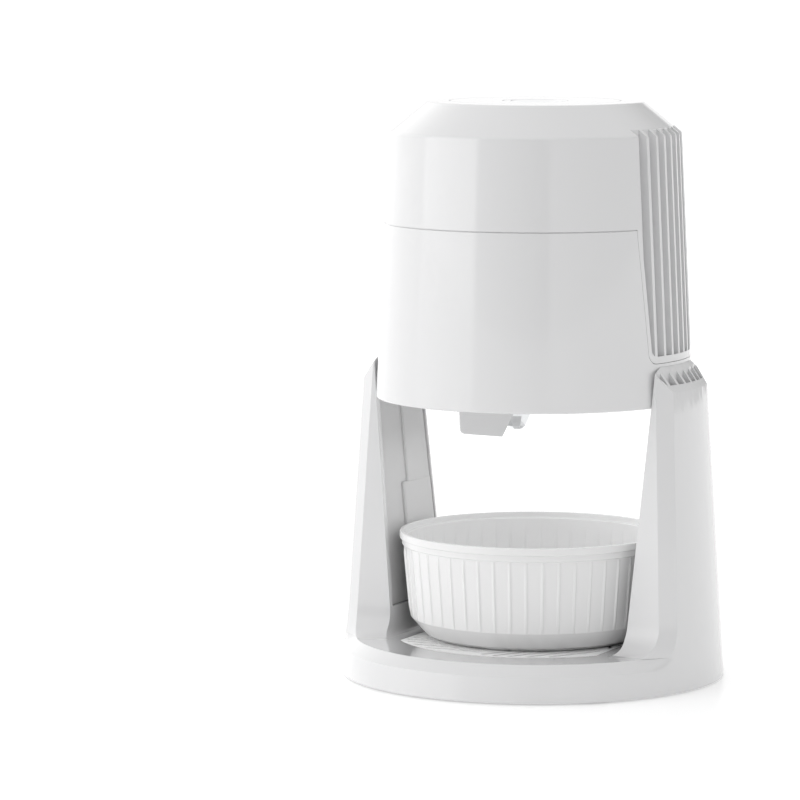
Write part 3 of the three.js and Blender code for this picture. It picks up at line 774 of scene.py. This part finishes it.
smooth(head_upper)
finish_piece(head_upper, "motor_unit", ["motor_housing"], SHELL_WHITE)

cap_profile = rounded([
    (20, TOP_Z, 0.4),
    (51.7, TOP_Z, 0.4),
    (51.7, CAP_SEAT_Z + GAP, 0.3),
    (45, CAP_SEAT_Z + GAP),
    (45, BOARD_TOP_Z + GAP, 0.4),
    (42.5, BOARD_TOP_Z + GAP, 0.4),
    (42.5, CAP_SEAT_Z + GAP),
    (20, CAP_SEAT_Z + GAP, 0.3),
], closed=True)
cap = smooth(lathe("top_cap_skin", cap_profile, 160))
finish_piece(cap, "motor_unit", ["top_cap"], SHELL_WHITE)

button_profile = rounded([
    (0, 342.9),
    (3, 342.9, 0.4),
    (3, 345, 0.4),
    (15, 345, 0.3),
    (15, 343.1, 0.3),
    (21.5, 343.1, 0.3),
    (21.5, 345, 0.3),
    (19.5, 345, 0.3),
    (19.5, TOP_Z, 0.8),
    (15.5, TOP_Z, 0.3),
    (14.9, 349.4, 0.3),
    (14.3, 349.85, 0.3),
    (6, 349.6, 2.0),
    (0, 349.5),
], steps=5)
button = smooth(lathe("power_button_skin", button_profile, 128))
finish_piece(button, "power_button", ["power_button"], CHROME)


# ---- Bowl ----
def bowl_skin():
    """A thin dish with a stepped rim. Narrow ribs stand out outside and show faintly inside."""
    outside = rounded([
        (0, 23.3),
        (62, 23.3, 2),
        (66.5, 25.5, 1.2),
        (75.3, 35.5, 1.0),
        (79.4, 79.5, 0.8),
        (80.6, 80, 0.3),
        (80.6, 83.4, 0.3),
        (BOWL_RIM_R, 83.8, 0.4),
        (BOWL_RIM_R, BOWL_RIM_Z, 0.9),
        (79.6, BOWL_RIM_Z, 0.6),
        (79.2, 84.8, 0.5),
        (77.4, 84.3, 0.8),
        (73.3, 37, 2),
        (65, 27, 3),
        (61, 25.3, 3),
        (0, 25.3),
    ], steps=5)
    profile = []
    for (r0, z0), (r1, z1) in zip(outside, outside[1:]):
        steps = max(1, int(math.hypot(r1 - r0, z1 - z0) / 5))
        for i in range(steps):
            t = i / steps
            profile.append((r0 + (r1 - r0) * t, z0 + (z1 - z0) * t))
    profile.append(outside[-1])
    rim_at = max(range(len(profile)), key=lambda i: profile[i][1])
    # One rib and the gap round it: places across it as shares of the pitch, and heights there.
    across = [0, 0.25, 0.36, 0.4, 0.43, 0.46, 0.5, 0.54, 0.57, 0.6, 0.64, 0.75]
    crest = [0, 0, 0, 0.15, 0.6, 0.93, 1, 0.93, 0.6, 0.15, 0, 0]
    sides = BOWL_RIBS * len(across)
    points, rows = [], []
    for n, (r, z) in enumerate(profile):
        if r < 1e-6:
            rows.append([len(points)] * sides)
            points.append((0, 0, z))
            continue
        rows.append(list(range(len(points), len(points) + sides)))
        fade = min(1, max(0, (z - RIB_LOW_Z) / 1.6)) * min(1, max(0, (RIB_HIGH_Z - z) / 2.5))
        height = (RIB_OUTSIDE if n < rim_at else RIB_INSIDE) * fade * fade * (3 - 2 * fade)
        for i in range(sides):
            rib, place = divmod(i, len(across))
            a = 2 * math.pi * (rib + across[place]) / BOWL_RIBS + math.radians(BOWL_TURN)
            rr = r + height * crest[place]
            points.append((rr * math.cos(a), rr * math.sin(a), z))
    return mesh_object("bowl_skin", points, strips(rows))


bowl = smooth(bowl_skin(), 34)
finish_piece(bowl, "bowl", ["bowl"], BOWL_WHITE_PAINTED_FILL)


# ---- Drip grille ----
def slit_outline(x, y0, y1):
    """A narrow slot with round ends, running along Y."""
    r = SLIT_WIDTH / 2
    points = []
    for turn, y in ((0, y1 - r), (math.pi, y0 + r)):
        for i in range(9):
            a = turn + math.pi * i / 8
            points.append((x + r * math.cos(a), y + r * math.sin(a)))
    return points


def grille_slits():
    """Six sectors of parallel slits, each slit shorter towards the middle of the plate."""
    slits = []
    for border in (0, 60, 120, 180, 240, 300):
        for i in range(5):
            x = FIRST_SLIT + SLIT_PITCH * i
            reach = math.sqrt((GRILLE_R - SLIT_BORDER) ** 2 - x**2)
            y0 = -min(reach, x * math.tan(math.radians(60)) - 3)
            if y0 > -8:
                continue
            slits.append(aimed(prism("slit", slit_outline(x, y0, -2.2), 18, 26), border))
    return gather("slits", slits)


grille = clipped_disc("grille_skin", GRILLE_R, GRILLE_HALF_X, TRAY_Z - GRILLE_THICK, TRAY_Z)
limit = clipped_disc("slit_limit", GRILLE_R - SLIT_BORDER, GRILLE_HALF_X - SLIT_BORDER, 17, 27)
cut(grille, combine(grille_slits(), limit, "INTERSECT"))
tidy(grille)
bevel(grille, 0.3)
smooth(grille)
finish_piece(grille, "tray_grille", ["drip_grille"], TRAY_WHITE_PAINTED_FILL)

# ---- Chute and adjusting knob ----
chute_outline = rounded([
    (46.8, 171.7, 0), (45.9, 148.4, 3.6), (20.2, 146.4, 0.5), (7.7, 171.7, 0),
], steps=8, closed=True)
chute = aimed(prism("chute_skin", chute_outline, -9, 9, "y"), CHUTE_ANGLE)
chute_inside = rounded([
    (44.8, 173), (44.0, 146), (44.0, 144), (22.4, 144), (9.2, 173),
], closed=True)
cut(chute, aimed(prism("chute_cut", chute_inside, -7.2, 7.2, "y"), CHUTE_ANGLE))
tidy(chute)
bevel(chute, 0.9, 4, 35)
smooth(chute)
finish_piece(chute, "stand", ["ice_chute"], SHELL_WHITE)


def knob_skin():
    """A tapered, faceted metal knob on a threaded stem."""
    skirt = rounded([
        (0, 147.9),
        (3.4, 147.9, 0.5),
        (5.8, 149.9, 0.5),
        (8.9, 156.5, 0.6),
        (8.9, 162.8, 0.6),
        (2.9, 164.9, 0.3),
    ], steps=3)
    stem_r, root_r, turns, stem_top = 2.9, 2.6, 14, 179.5
    thread = []
    for i in range(turns):
        thread += [(stem_r, 165.4 + i), (root_r, 165.9 + i)]
    profile = skirt + thread + [(stem_r, stem_top), (0, stem_top)]
    made = lathe("knob_skin", profile, 96)
    facets, skirt_top = 8, 164.5  # the faceted part ends below the stem
    step = 2 * math.pi / facets
    for vertex in made.data.vertices:
        x, y, z = (c / MM for c in vertex.co)
        if z < skirt_top:
            off = (math.atan2(y, x) % step) - step / 2
            flat = math.cos(step / 2) / math.cos(off)
            vertex.co.x *= flat
            vertex.co.y *= flat
    made.data.transform(Matrix.Translation((KNOB_X * MM, KNOB_Y * MM, 0)))
    return made


knob = smooth(knob_skin(), 25)
finish_piece(knob, "adjust_knob", ["adjust_knob"], CHROME)


# ---- Inner parts ----
OWNERS = {
    node: body for body, nodes in frame["record"]["behaviour"]["bodies"].items() for node in nodes
}
SLOTS = {subpart["node"]: subpart["material_slot"] for subpart in frame["record"]["subparts"]}


def finish_part(obj, node, crease=38.0):
    """Shows a piece in place of one CAD node, on that node's body and in its slot."""
    smooth(obj, crease)
    return finish_piece(obj, OWNERS[node], [node], LOOKS[SLOTS[node]])


def screw_head(x, y, z0, z1, down):
    """A domed screw head with a cross recess, its face up or down."""
    face, seat = (z0, z1) if down else (z1, z0)
    dome = 0.35 if down else -0.35
    shoulder = (SCREW_R * 0.6, face + dome * 0.2)
    profile = [(0, seat), (SCREW_R, seat), (SCREW_R, face + dome), shoulder, (0, face)]
    if down:
        profile = profile[::-1]
    head = lathe("screw", profile, 40, x, y)
    low, high = (face - 0.5, face + 0.6) if down else (face - 0.6, face + 0.5)
    for across, along in ((1.6, 0.3), (0.3, 1.6)):
        cut(head, box("slot", x - across, x + across, y - along, y + along, low, high))
    return head


def screws(name, places, z0, z1, body, down=False):
    made = gather(name, [screw_head(x, y, z0, z1, down) for x, y in places])
    return finish_piece(smooth(made, 30), body, [], STEEL)


# ---- Base plate, feet and drip pan ----
FOOT_PLACES = {
    "foot_front_right": (70, -70),
    "foot_front_left": (-70, -70),
    "foot_rear_right": (70, 70),
    "foot_rear_left": (-70, 70),
}
PLATE_SCREWS = [(100, 0), (-100, 0), (0, 100), (0, -100)]
plate = lathe("base_plate_skin", rounded([
    (0, 1.6), (112.7, 1.6, 0.6), (112.7, 4.6, 0.3), (0, 4.6),
]), ROUND)
combine(plate, clipped_disc("rise", PAN_R, PAN_HALF_X, 4, PAN_FLOOR_Z), "UNION")
wells = [cylinder("well", 9.3, 1, 3.2, 48, x, y) for x, y in FOOT_PLACES.values()]
wells += [cylinder("well", 3.6, 1, 3.4, 40, x, y) for x, y in PLATE_SCREWS]
for number in range(9):
    x = 7 * (number - 4)
    wells.append(box("vent", x - 1, x + 1, -22, 22, 1, 2.6))
label = cut(box("label", -30, 30, 36, 62, 1, 1.9), box("label_in", -28.6, 28.6, 37.4, 60.6, 0, 3))
cut(plate, gather("wells", wells + [label]))
tidy(plate)
bevel(plate, 0.25)
finish_part(plate, "base_plate")
screws("base_screws", PLATE_SCREWS, 2.0, 3.3, "stand", down=True)

for name, (x, y) in FOOT_PLACES.items():
    profile = rounded([
        (0, 0.8), (4.4, 0.8, 0.2), (5.0, 0, 0.2), (8, 0, 0.6), (9, 1, 0.5), (9, 2.9, 0.3), (0, 2.9),
    ])
    finish_part(lathe(name + "_skin", profile, 64, x, y), name)

pan_top = tray_pocket_z - GAP
pan = clipped_disc("drip_pan_skin", PAN_R, PAN_HALF_X, PAN_FLOOR_Z + GAP, pan_top)
cut(pan, clipped_disc("pan_in", PAN_R - 2, PAN_HALF_X - 2, PAN_FLOOR_Z + GAP + 1.8, pan_top + 1))
bevel(pan, 0.7, 3, 40)
finish_part(pan, "drip_pan")

# ---- Ice chamber, blade carrier and blade ----
chamber = lathe("ice_chamber_skin", rounded([
    (0, CHAMBER_FLOOR_Z - 3),
    (64, CHAMBER_FLOOR_Z - 3, 1),
    (64, LOWER_FLOOR_Z + GAP),
    (CHAMBER_R, LOWER_FLOOR_Z + GAP, 0.4),
    (CHAMBER_R, CHAMBER_TOP_Z, 0.5),
    (CHAMBER_R - 2.5, CHAMBER_TOP_Z, 0.9),
    (CHAMBER_R - 2.5, CHAMBER_FLOOR_Z, 2.5),
    (0, CHAMBER_FLOOR_Z),
]), 160)
fins = [
    aimed(box("fin", CHAMBER_R - 4.1, CHAMBER_R - 1.5, -1, 1, CHAMBER_FLOOR_Z + 4, 262), 22.5 + 45 * n)
    for n in range(8)
]
combine(chamber, bevel(gather("fins", fins), 0.6, 3, 30), "UNION")
cut(chamber, aimed(box("blade_slot", 12.5, 49.5, -6, 9, 178, 190), CHUTE_ANGLE))
tidy(chamber)
bevel(chamber, 0.25, 2, 45)
finish_part(chamber, "ice_chamber")

carrier = aimed(box("blade_carrier_skin", 2, 52, -12, 27, LOWER_FLOOR_Z + GAP, 179.4), CHUTE_ANGLE)
cut(carrier, passage_cutter(182), stem_cutter(182))
cut(carrier, aimed(box("relief", 8, 46, 12, 22, 178, 182), CHUTE_ANGLE))
tidy(carrier)
bevel(carrier, 0.6, 3, 40)
finish_part(carrier, "blade_carrier")

blade_outline = [
    (-5, 180), (-3.4, 180), (3.4, 183.95), (4, 184.3), (3.75, 184.3), (2.2, 183.75), (-4.9, 180.1),
]
blade = aimed(prism("blade_skin", blade_outline, 14, 48, "x"), CHUTE_ANGLE)
finish_part(bevel(blade, 0.06, 1, 20), "blade", 20)

# ---- Seal, unit floor and gear plate ----
seal_top = UNIT_FLOOR_Z - GAP
seal_low = CHAMBER_TOP_Z + GAP
seal_mid = (seal_low + seal_top) / 2
seal = lathe("seal_ring_skin", rounded([
    (64.5, seal_low, 0.3), (69, seal_low, 0.3), (69, seal_top, 0.3), (64.5, seal_top, 0.3),
    (65.2, seal_mid, 0.2),
], steps=3, closed=True), 160)
finish_part(seal, "seal_ring")

POSTS = [(44, 20), (-44, 20), (0, -44)]
floor_part = lathe("unit_floor_skin", rounded([
    (9.6, UNIT_FLOOR_Z), (87, UNIT_FLOOR_Z, 0.5), (87, UNIT_FLOOR_Z + 2.5, 0.5),
    (14, UNIT_FLOOR_Z + 2.5, 0.4), (13.2, UNIT_FLOOR_Z + 5, 0.4), (9.6, UNIT_FLOOR_Z + 5, 0.4),
], steps=3, closed=True), 160)
post_top = GEAR_PLATE_Z - GAP
for x, y in POSTS:
    post = rounded([
        (0, UNIT_FLOOR_Z + 1), (5.2, UNIT_FLOOR_Z + 1), (4, UNIT_FLOOR_Z + 6, 1),
        (4, post_top, 0.5), (0, post_top),
    ])
    combine(floor_part, lathe("post", post, 40, x, y), "UNION")
for number in range(6):
    rib = box("rib", 24, 80, -0.9, 0.9, UNIT_FLOOR_Z + 1, UNIT_FLOOR_Z + 4.6)
    combine(floor_part, aimed(rib, 30 + 60 * number), "UNION")
keep_out = cut(tongue_prism(0.6, TONGUE_BOTTOM_Z, 345), within(recess_depth))
cut(floor_part, both_sides(keep_out))
tidy(floor_part)
bevel(floor_part, 0.25, 2, 45)
finish_part(floor_part, "unit_floor")

gear_plate = lathe("gear_plate_skin", rounded([
    (0, GEAR_PLATE_Z), (58, GEAR_PLATE_Z, 0.4), (58, GEAR_PLATE_TOP_Z, 0.4), (0, GEAR_PLATE_TOP_Z),
]), 128, 0, 10)
holes = [cylinder("hole", 9.6, 290, 300), cylinder("hole", 3.2, 290, 300, 32, 0, MOTOR_Y)]
for x, y in ((-34, -14), (34, -14), (-24, -30), (24, -30)):
    holes.append(cylinder("hole", 5.5, 290, 300, 32, x, y))
cut(gear_plate, gather("holes", holes))
bevel(gear_plate, 0.25)
finish_part(gear_plate, "gear_plate")
screws("plate_screws", POSTS, GEAR_PLATE_TOP_Z, GEAR_PLATE_TOP_Z + 1.7, "motor_unit")


# ---- Motor and fan ----
def on_motor(obj, bearing=0.0):
    """Turns a piece that was drawn about the middle and moves it to the motor's axis."""
    obj.data.transform(Matrix.Rotation(math.radians(bearing), 4, "Z"))
    obj.data.transform(Matrix.Translation((0, MOTOR_Y * MM, 0)))
    return obj


can = lathe("motor_can_skin", rounded([
    (3.2, 296.8), (18.6, 296.8, 0.8), (18.6, 299.4, 0.3), (20, 299.4, 0.5), (20, 325, 0.5),
    (18.8, 325, 0.3), (18.8, 328, 0.9), (7, 328, 0.4), (7, 326.6, 0.3), (3.2, 326.6),
], steps=3, closed=True), 96, 0, MOTOR_Y)
windows = [on_motor(box("window", 16.5, 22, -4, 4, 304, 311), 30 + 60 * n) for n in range(6)]
cut(can, gather("windows", windows))
tidy(can)
bevel(can, 0.2, 2, 45)
finish_part(can, "motor_can")

shaft = lathe("motor_shaft_skin", rounded([
    (0, 281), (2.0, 281, 0.1), (2.4, 281.5, 0.1), (2.4, 335, 0.1), (2.0, 335.5, 0.1), (0, 335.5),
]), 48, 0, MOTOR_Y)
finish_part(shaft, "motor_shaft", 25)

fan = lathe("motor_fan_skin", rounded([
    (2.7, 329), (17, 329, 0.3), (17, 330.4, 0.3), (6.4, 330.4, 0.8), (5.5, 331.4, 0.4), (5.3, 334, 0.5),
    (2.7, 334),
], steps=3, closed=True), 96, 0, MOTOR_Y)
sweep = [math.radians(4.0 * step) for step in range(6)]
radii = [4.6 + 2.35 * step for step in range(6)]
inner = [(r * math.cos(a), r * math.sin(a) - 0.5) for r, a in zip(radii, sweep)]
outer = [(r * math.cos(a), r * math.sin(a) + 0.5) for r, a in zip(radii, sweep)]
for number in range(8):
    vane = prism("vane", inner + outer[::-1], 330.0, 333.7)
    combine(fan, on_motor(vane, 45 * number), "UNION")
tidy(fan)
finish_part(fan, "motor_fan")


# ---- Gears ----
def gear(name, teeth, bore, phase):
    """A spur gear's toothed disc. Each level is a height above the pitch circle, in modules, and half
    the tooth's width there as a share of the pitch."""
    pitch_r = GEAR_MODULE * teeth / 2
    step = 2 * math.pi / teeth
    levels = [(-1.25, 0.32), (-0.6, 0.27), (0, 0.22), (0.5, 0.155), (0.9, 0.09)]
    outline = []
    for tooth in range(teeth):
        middle = step * tooth + phase
        flank = [(pitch_r + GEAR_MODULE * rise, share * step) for rise, share in levels]
        outline += [(r * math.cos(middle - a), r * math.sin(middle - a)) for r, a in flank]
        outline += [(r * math.cos(middle + a), r * math.sin(middle + a)) for r, a in reversed(flank)]
    made = prism(name, outline, GEAR_Z, GEAR_TOP_Z)
    return cut(made, cylinder("bore", bore, GEAR_Z - 1, GEAR_TOP_Z + 1, 64))


gear_phase = math.pi / 2 + math.pi / GEAR_TEETH  # a gap of the gear faces the pinion
drive = gear("drive_gear_skin", GEAR_TEETH, 9.3, gear_phase)
hub_r, tooth_ring_r = 13, GEAR_MODULE * GEAR_TEETH / 2 - 4
for z0, z1 in ((GEAR_Z - 1, GEAR_Z + 1.6), (GEAR_TOP_Z - 1.6, GEAR_TOP_Z + 1)):
    web = [(hub_r, z0), (tooth_ring_r, z0), (tooth_ring_r, z1), (hub_r, z1)]
    cut(drive, lathe("web", web, 96))
cut(drive, gather("lightening", [
    aimed(cylinder("hole", 3, 280, 295, 32, (hub_r + tooth_ring_r) / 2), 60 * n) for n in range(6)
]))
tidy(drive)
finish_part(bevel(drive, 0.15, 1, 45), "drive_gear", 30)
pinion = on_motor(gear("pinion_skin", PINION_TEETH, 2.7, -math.pi / 2))
finish_part(bevel(tidy(pinion), 0.1, 1, 45), "pinion", 30)

# ---- Spindle and pusher ----
spindle = lathe("spindle_tube_skin", rounded([
    (6, 270), (8.6, 270, 0.2), (9, 270.6, 0.2), (9, 324, 0.2), (8.4, 324.3, 0.1), (8.4, 325.2, 0.1),
    (9, 325.4, 0.1), (9, 326, 0.3), (6, 326),
], steps=3, closed=True), 96)
finish_part(spindle, "spindle_tube")

rod_outline = [(-4, -3.2), (-3.2, -4), (3.2, -4), (4, -3.2), (4, 3.2), (3.2, 4), (-3.2, 4), (-4, 3.2)]
rod_ends = ((260.3, 0.88), (260.9, 1.0), (324.2, 1.0), (325, 0.8))
rod = loft("pusher_rod_skin", [[(x * k, y * k, z) for x, y in rod_outline] for z, k in rod_ends])
finish_part(rod, "pusher_rod", 30)

disc = lathe("pusher_disc_skin", rounded([
    (0, DISC_Z), (PUSHER_R, DISC_Z, 0.8), (PUSHER_R, DISC_TOP_Z, 0.6), (PUSHER_R - 2.2, DISC_TOP_Z, 0.3),
    (PUSHER_R - 3, 257.8, 0.5), (15, 257.8, 0.8), (14, DISC_TOP_Z, 0.4), (0, DISC_TOP_Z),
]), 128)
for number in range(12):
    rib = box("rib", 12, PUSHER_R - 2.4, -0.8, 0.8, 257, 259.6)
    combine(disc, aimed(rib, 30 * number + 15), "UNION")
for number in range(6):
    a = math.pi * number / 3
    r = 26 if number % 2 else 48
    spike = rounded([(0, 250), (0.8, 250, 0.4), (2.6, 255.4, 1), (4.2, 256.6), (0, 256.6)])
    combine(disc, lathe("spike", spike, 32, r * math.cos(a), r * math.sin(a)), "UNION")
tidy(disc)
bevel(disc, 0.2, 2, 45)
finish_part(disc, "pusher_disc")


# ---- Power inlet ----
def round_corners(half_x, low_z, high_z, radius):
    """A flat outline (X, Z) with four equal corners."""
    corners = [(half_x, low_z), (half_x, high_z), (-half_x, high_z), (-half_x, low_z)]
    return rounded([(*corner, radius) for corner in corners], steps=6, closed=True)


inlet = prism("power_inlet_skin", round_corners(12.6, INLET_Z - 8.6, INLET_Z + 8.6, 2), 76, 89.3, "y")
cut(inlet, prism("recess", round_corners(9, INLET_Z - 5, INLET_Z + 5, 4.6), 79, 95, "y"))
core = prism("core", round_corners(6.6, INLET_Z - 2.4, INLET_Z + 2.4, 2.3), 77, 86.5, "y")
combine(inlet, core, "UNION")
bevel(tidy(inlet), 0.5, 3, 40)
finish_part(inlet, "power_inlet")
pins = []
for x in (-4, 4):
    turns = [math.pi * n / 12 for n in range(24)]
    pin = [(x + 1.1 * math.cos(a), INLET_Z + 1.1 * math.sin(a)) for a in turns]
    pins.append(prism("pin", pin, 78, 88, "y"))
finish_piece(smooth(bevel(gather("inlet_pins", pins), 0.4)), "motor_unit", [], STEEL)

# ---- Switch and control board ----
switch_z = BOARD_TOP_Z + GAP
switch = bevel(box("micro_switch_skin", -6, 6, -3.5, 3.5, switch_z, switch_z + 0.9), 0.25)
plunger = rounded([(0, 339.4), (1.3, 339.4), (1.3, 340.1, 0.2), (0, 340.2)])
combine(switch, lathe("plunger", plunger, 32, -2.5, 0), "UNION")
finish_part(switch, "micro_switch")

board = lathe("control_board_skin", rounded([
    (0, BOARD_Z), (44, BOARD_Z, 0.1), (44, BOARD_TOP_Z, 0.1), (0, BOARD_TOP_Z),
]), 128)
cut(board, gather("board_holes", [
    aimed(cylinder("hole", 1.6, 336, 340, 24, 39), 45 + 90 * n) for n in range(4)
]))
finish_part(board, "control_board")
CHIPS = [(-20, -14, 6, 4), (14, -22, 4, 4), (-24, 8, 3, 7), (22, 4, 5, 3), (2, -8, 2, 3)]
chips = [box("chip", x - w, x + w, y - d, y + d, BOARD_Z - 1, BOARD_Z + 0.05) for x, y, w, d in CHIPS]
board_chips = smooth(bevel(gather("board_chips", chips), 0.2))
finish_piece(board_chips, "motor_unit", [], BLACK_PLASTIC)


# ---- Floor, lights and camera ----
def stage_floor():
    """A glowing white table, wide enough to reach the horizon."""
    material, nodes, links, shader = new_material("floor_white")
    shader.inputs["Base Color"].default_value = (0.92, 0.92, 0.92, 1)
    shader.inputs["Roughness"].default_value = 0.28
    shader.inputs["Specular IOR Level"].default_value = 0.3
    shader.inputs["Emission Color"].default_value = (1, 1, 1, 1)
    shader.inputs["Emission Strength"].default_value = FLOOR_GLOW
    edge = 40000
    corners = [(-edge, -edge, 0), (edge, -edge, 0), (edge, edge, 0), (-edge, edge, 0)]
    floor = mesh_object("floor", corners, [[0, 1, 2, 3]])
    floor.data.materials.append(material)


def studio_world():
    world = bpy.data.worlds.new("studio")
    bpy.context.scene.world = world
    world.use_nodes = True
    nodes, links = world.node_tree.nodes, world.node_tree.links
    background = nodes["Background"]
    place = nodes.new("ShaderNodeTexCoord")
    split = nodes.new("ShaderNodeSeparateXYZ")
    links.new(place.outputs["Generated"], split.inputs["Vector"])
    front = nodes.new("ShaderNodeMath")
    front.operation = "MULTIPLY"
    front.inputs[1].default_value = -1.0
    links.new(split.outputs["Y"], front.inputs[0])
    bearing = nodes.new("ShaderNodeMath")
    bearing.operation = "ARCTAN2"
    links.new(split.outputs["X"], bearing.inputs[0])
    links.new(front.outputs["Value"], bearing.inputs[1])
    share = nodes.new("ShaderNodeMapRange")
    share.inputs["From Min"].default_value = -math.pi
    share.inputs["From Max"].default_value = math.pi
    links.new(bearing.outputs["Value"], share.inputs["Value"])
    ramp = nodes.new("ShaderNodeValToRGB")
    ramp.color_ramp.interpolation = "LINEAR"
    brightest = max(value for _, value in STUDIO)
    stops = ramp.color_ramp.elements
    for degrees, value in STUDIO[1:-1]:
        stops.new((degrees + 180) / 360).color = [value / brightest] * 3 + [1]
    for stop, (degrees, value) in ((stops[0], STUDIO[0]), (stops[len(stops) - 1], STUDIO[-1])):
        stop.color = [value / brightest] * 3 + [1]
    links.new(share.outputs["Result"], ramp.inputs["Fac"])
    height = nodes.new("ShaderNodeMapRange")
    height.interpolation_type = "SMOOTHSTEP"
    height.inputs["From Min"].default_value = SIDES_TO
    height.inputs["From Max"].default_value = TOP_FROM
    links.new(split.outputs["Z"], height.inputs["Value"])
    mixed = nodes.new("ShaderNodeMix")
    mixed.data_type = "RGBA"
    links.new(height.outputs["Result"], mixed.inputs["Factor"])
    links.new(ramp.outputs["Color"], mixed.inputs["A"])
    mixed.inputs["B"].default_value = [STUDIO_TOP / brightest] * 3 + [1]
    links.new(mixed.outputs["Result"], background.inputs["Color"])
    background.inputs["Strength"].default_value = brightest


def bowl_lamp():
    """A soft lamp over the bowl, shining down. Neither the camera nor a reflection shows it."""
    data = bpy.data.lights.new("bowl_lamp", "AREA")
    data.shape = "DISK"
    data.size = BOWL_LAMP_WIDTH * MM
    data.energy = BOWL_LAMP_W
    lamp = bpy.data.objects.new("bowl_lamp", data)
    bpy.context.collection.objects.link(lamp)
    lamp.location = (0, 0, BOWL_LAMP_Z * MM)
    lamp.visible_camera = False
    lamp.visible_glossy = False


stage_floor()
studio_world()
bowl_lamp()
bpy.context.scene.view_settings.view_transform = "Standard"

camera_data = bpy.data.cameras.new("camera")
camera_data.lens = LENS
camera_data.sensor_width = 36.0
camera = bpy.data.objects.new("camera", camera_data)
bpy.context.collection.objects.link(camera)
camera.location = CAMERA_AT_M
camera.rotation_euler = (math.radians(CAMERA_PITCH), 0, math.radians(CAMERA_TURN))
bpy.context.scene.camera = camera
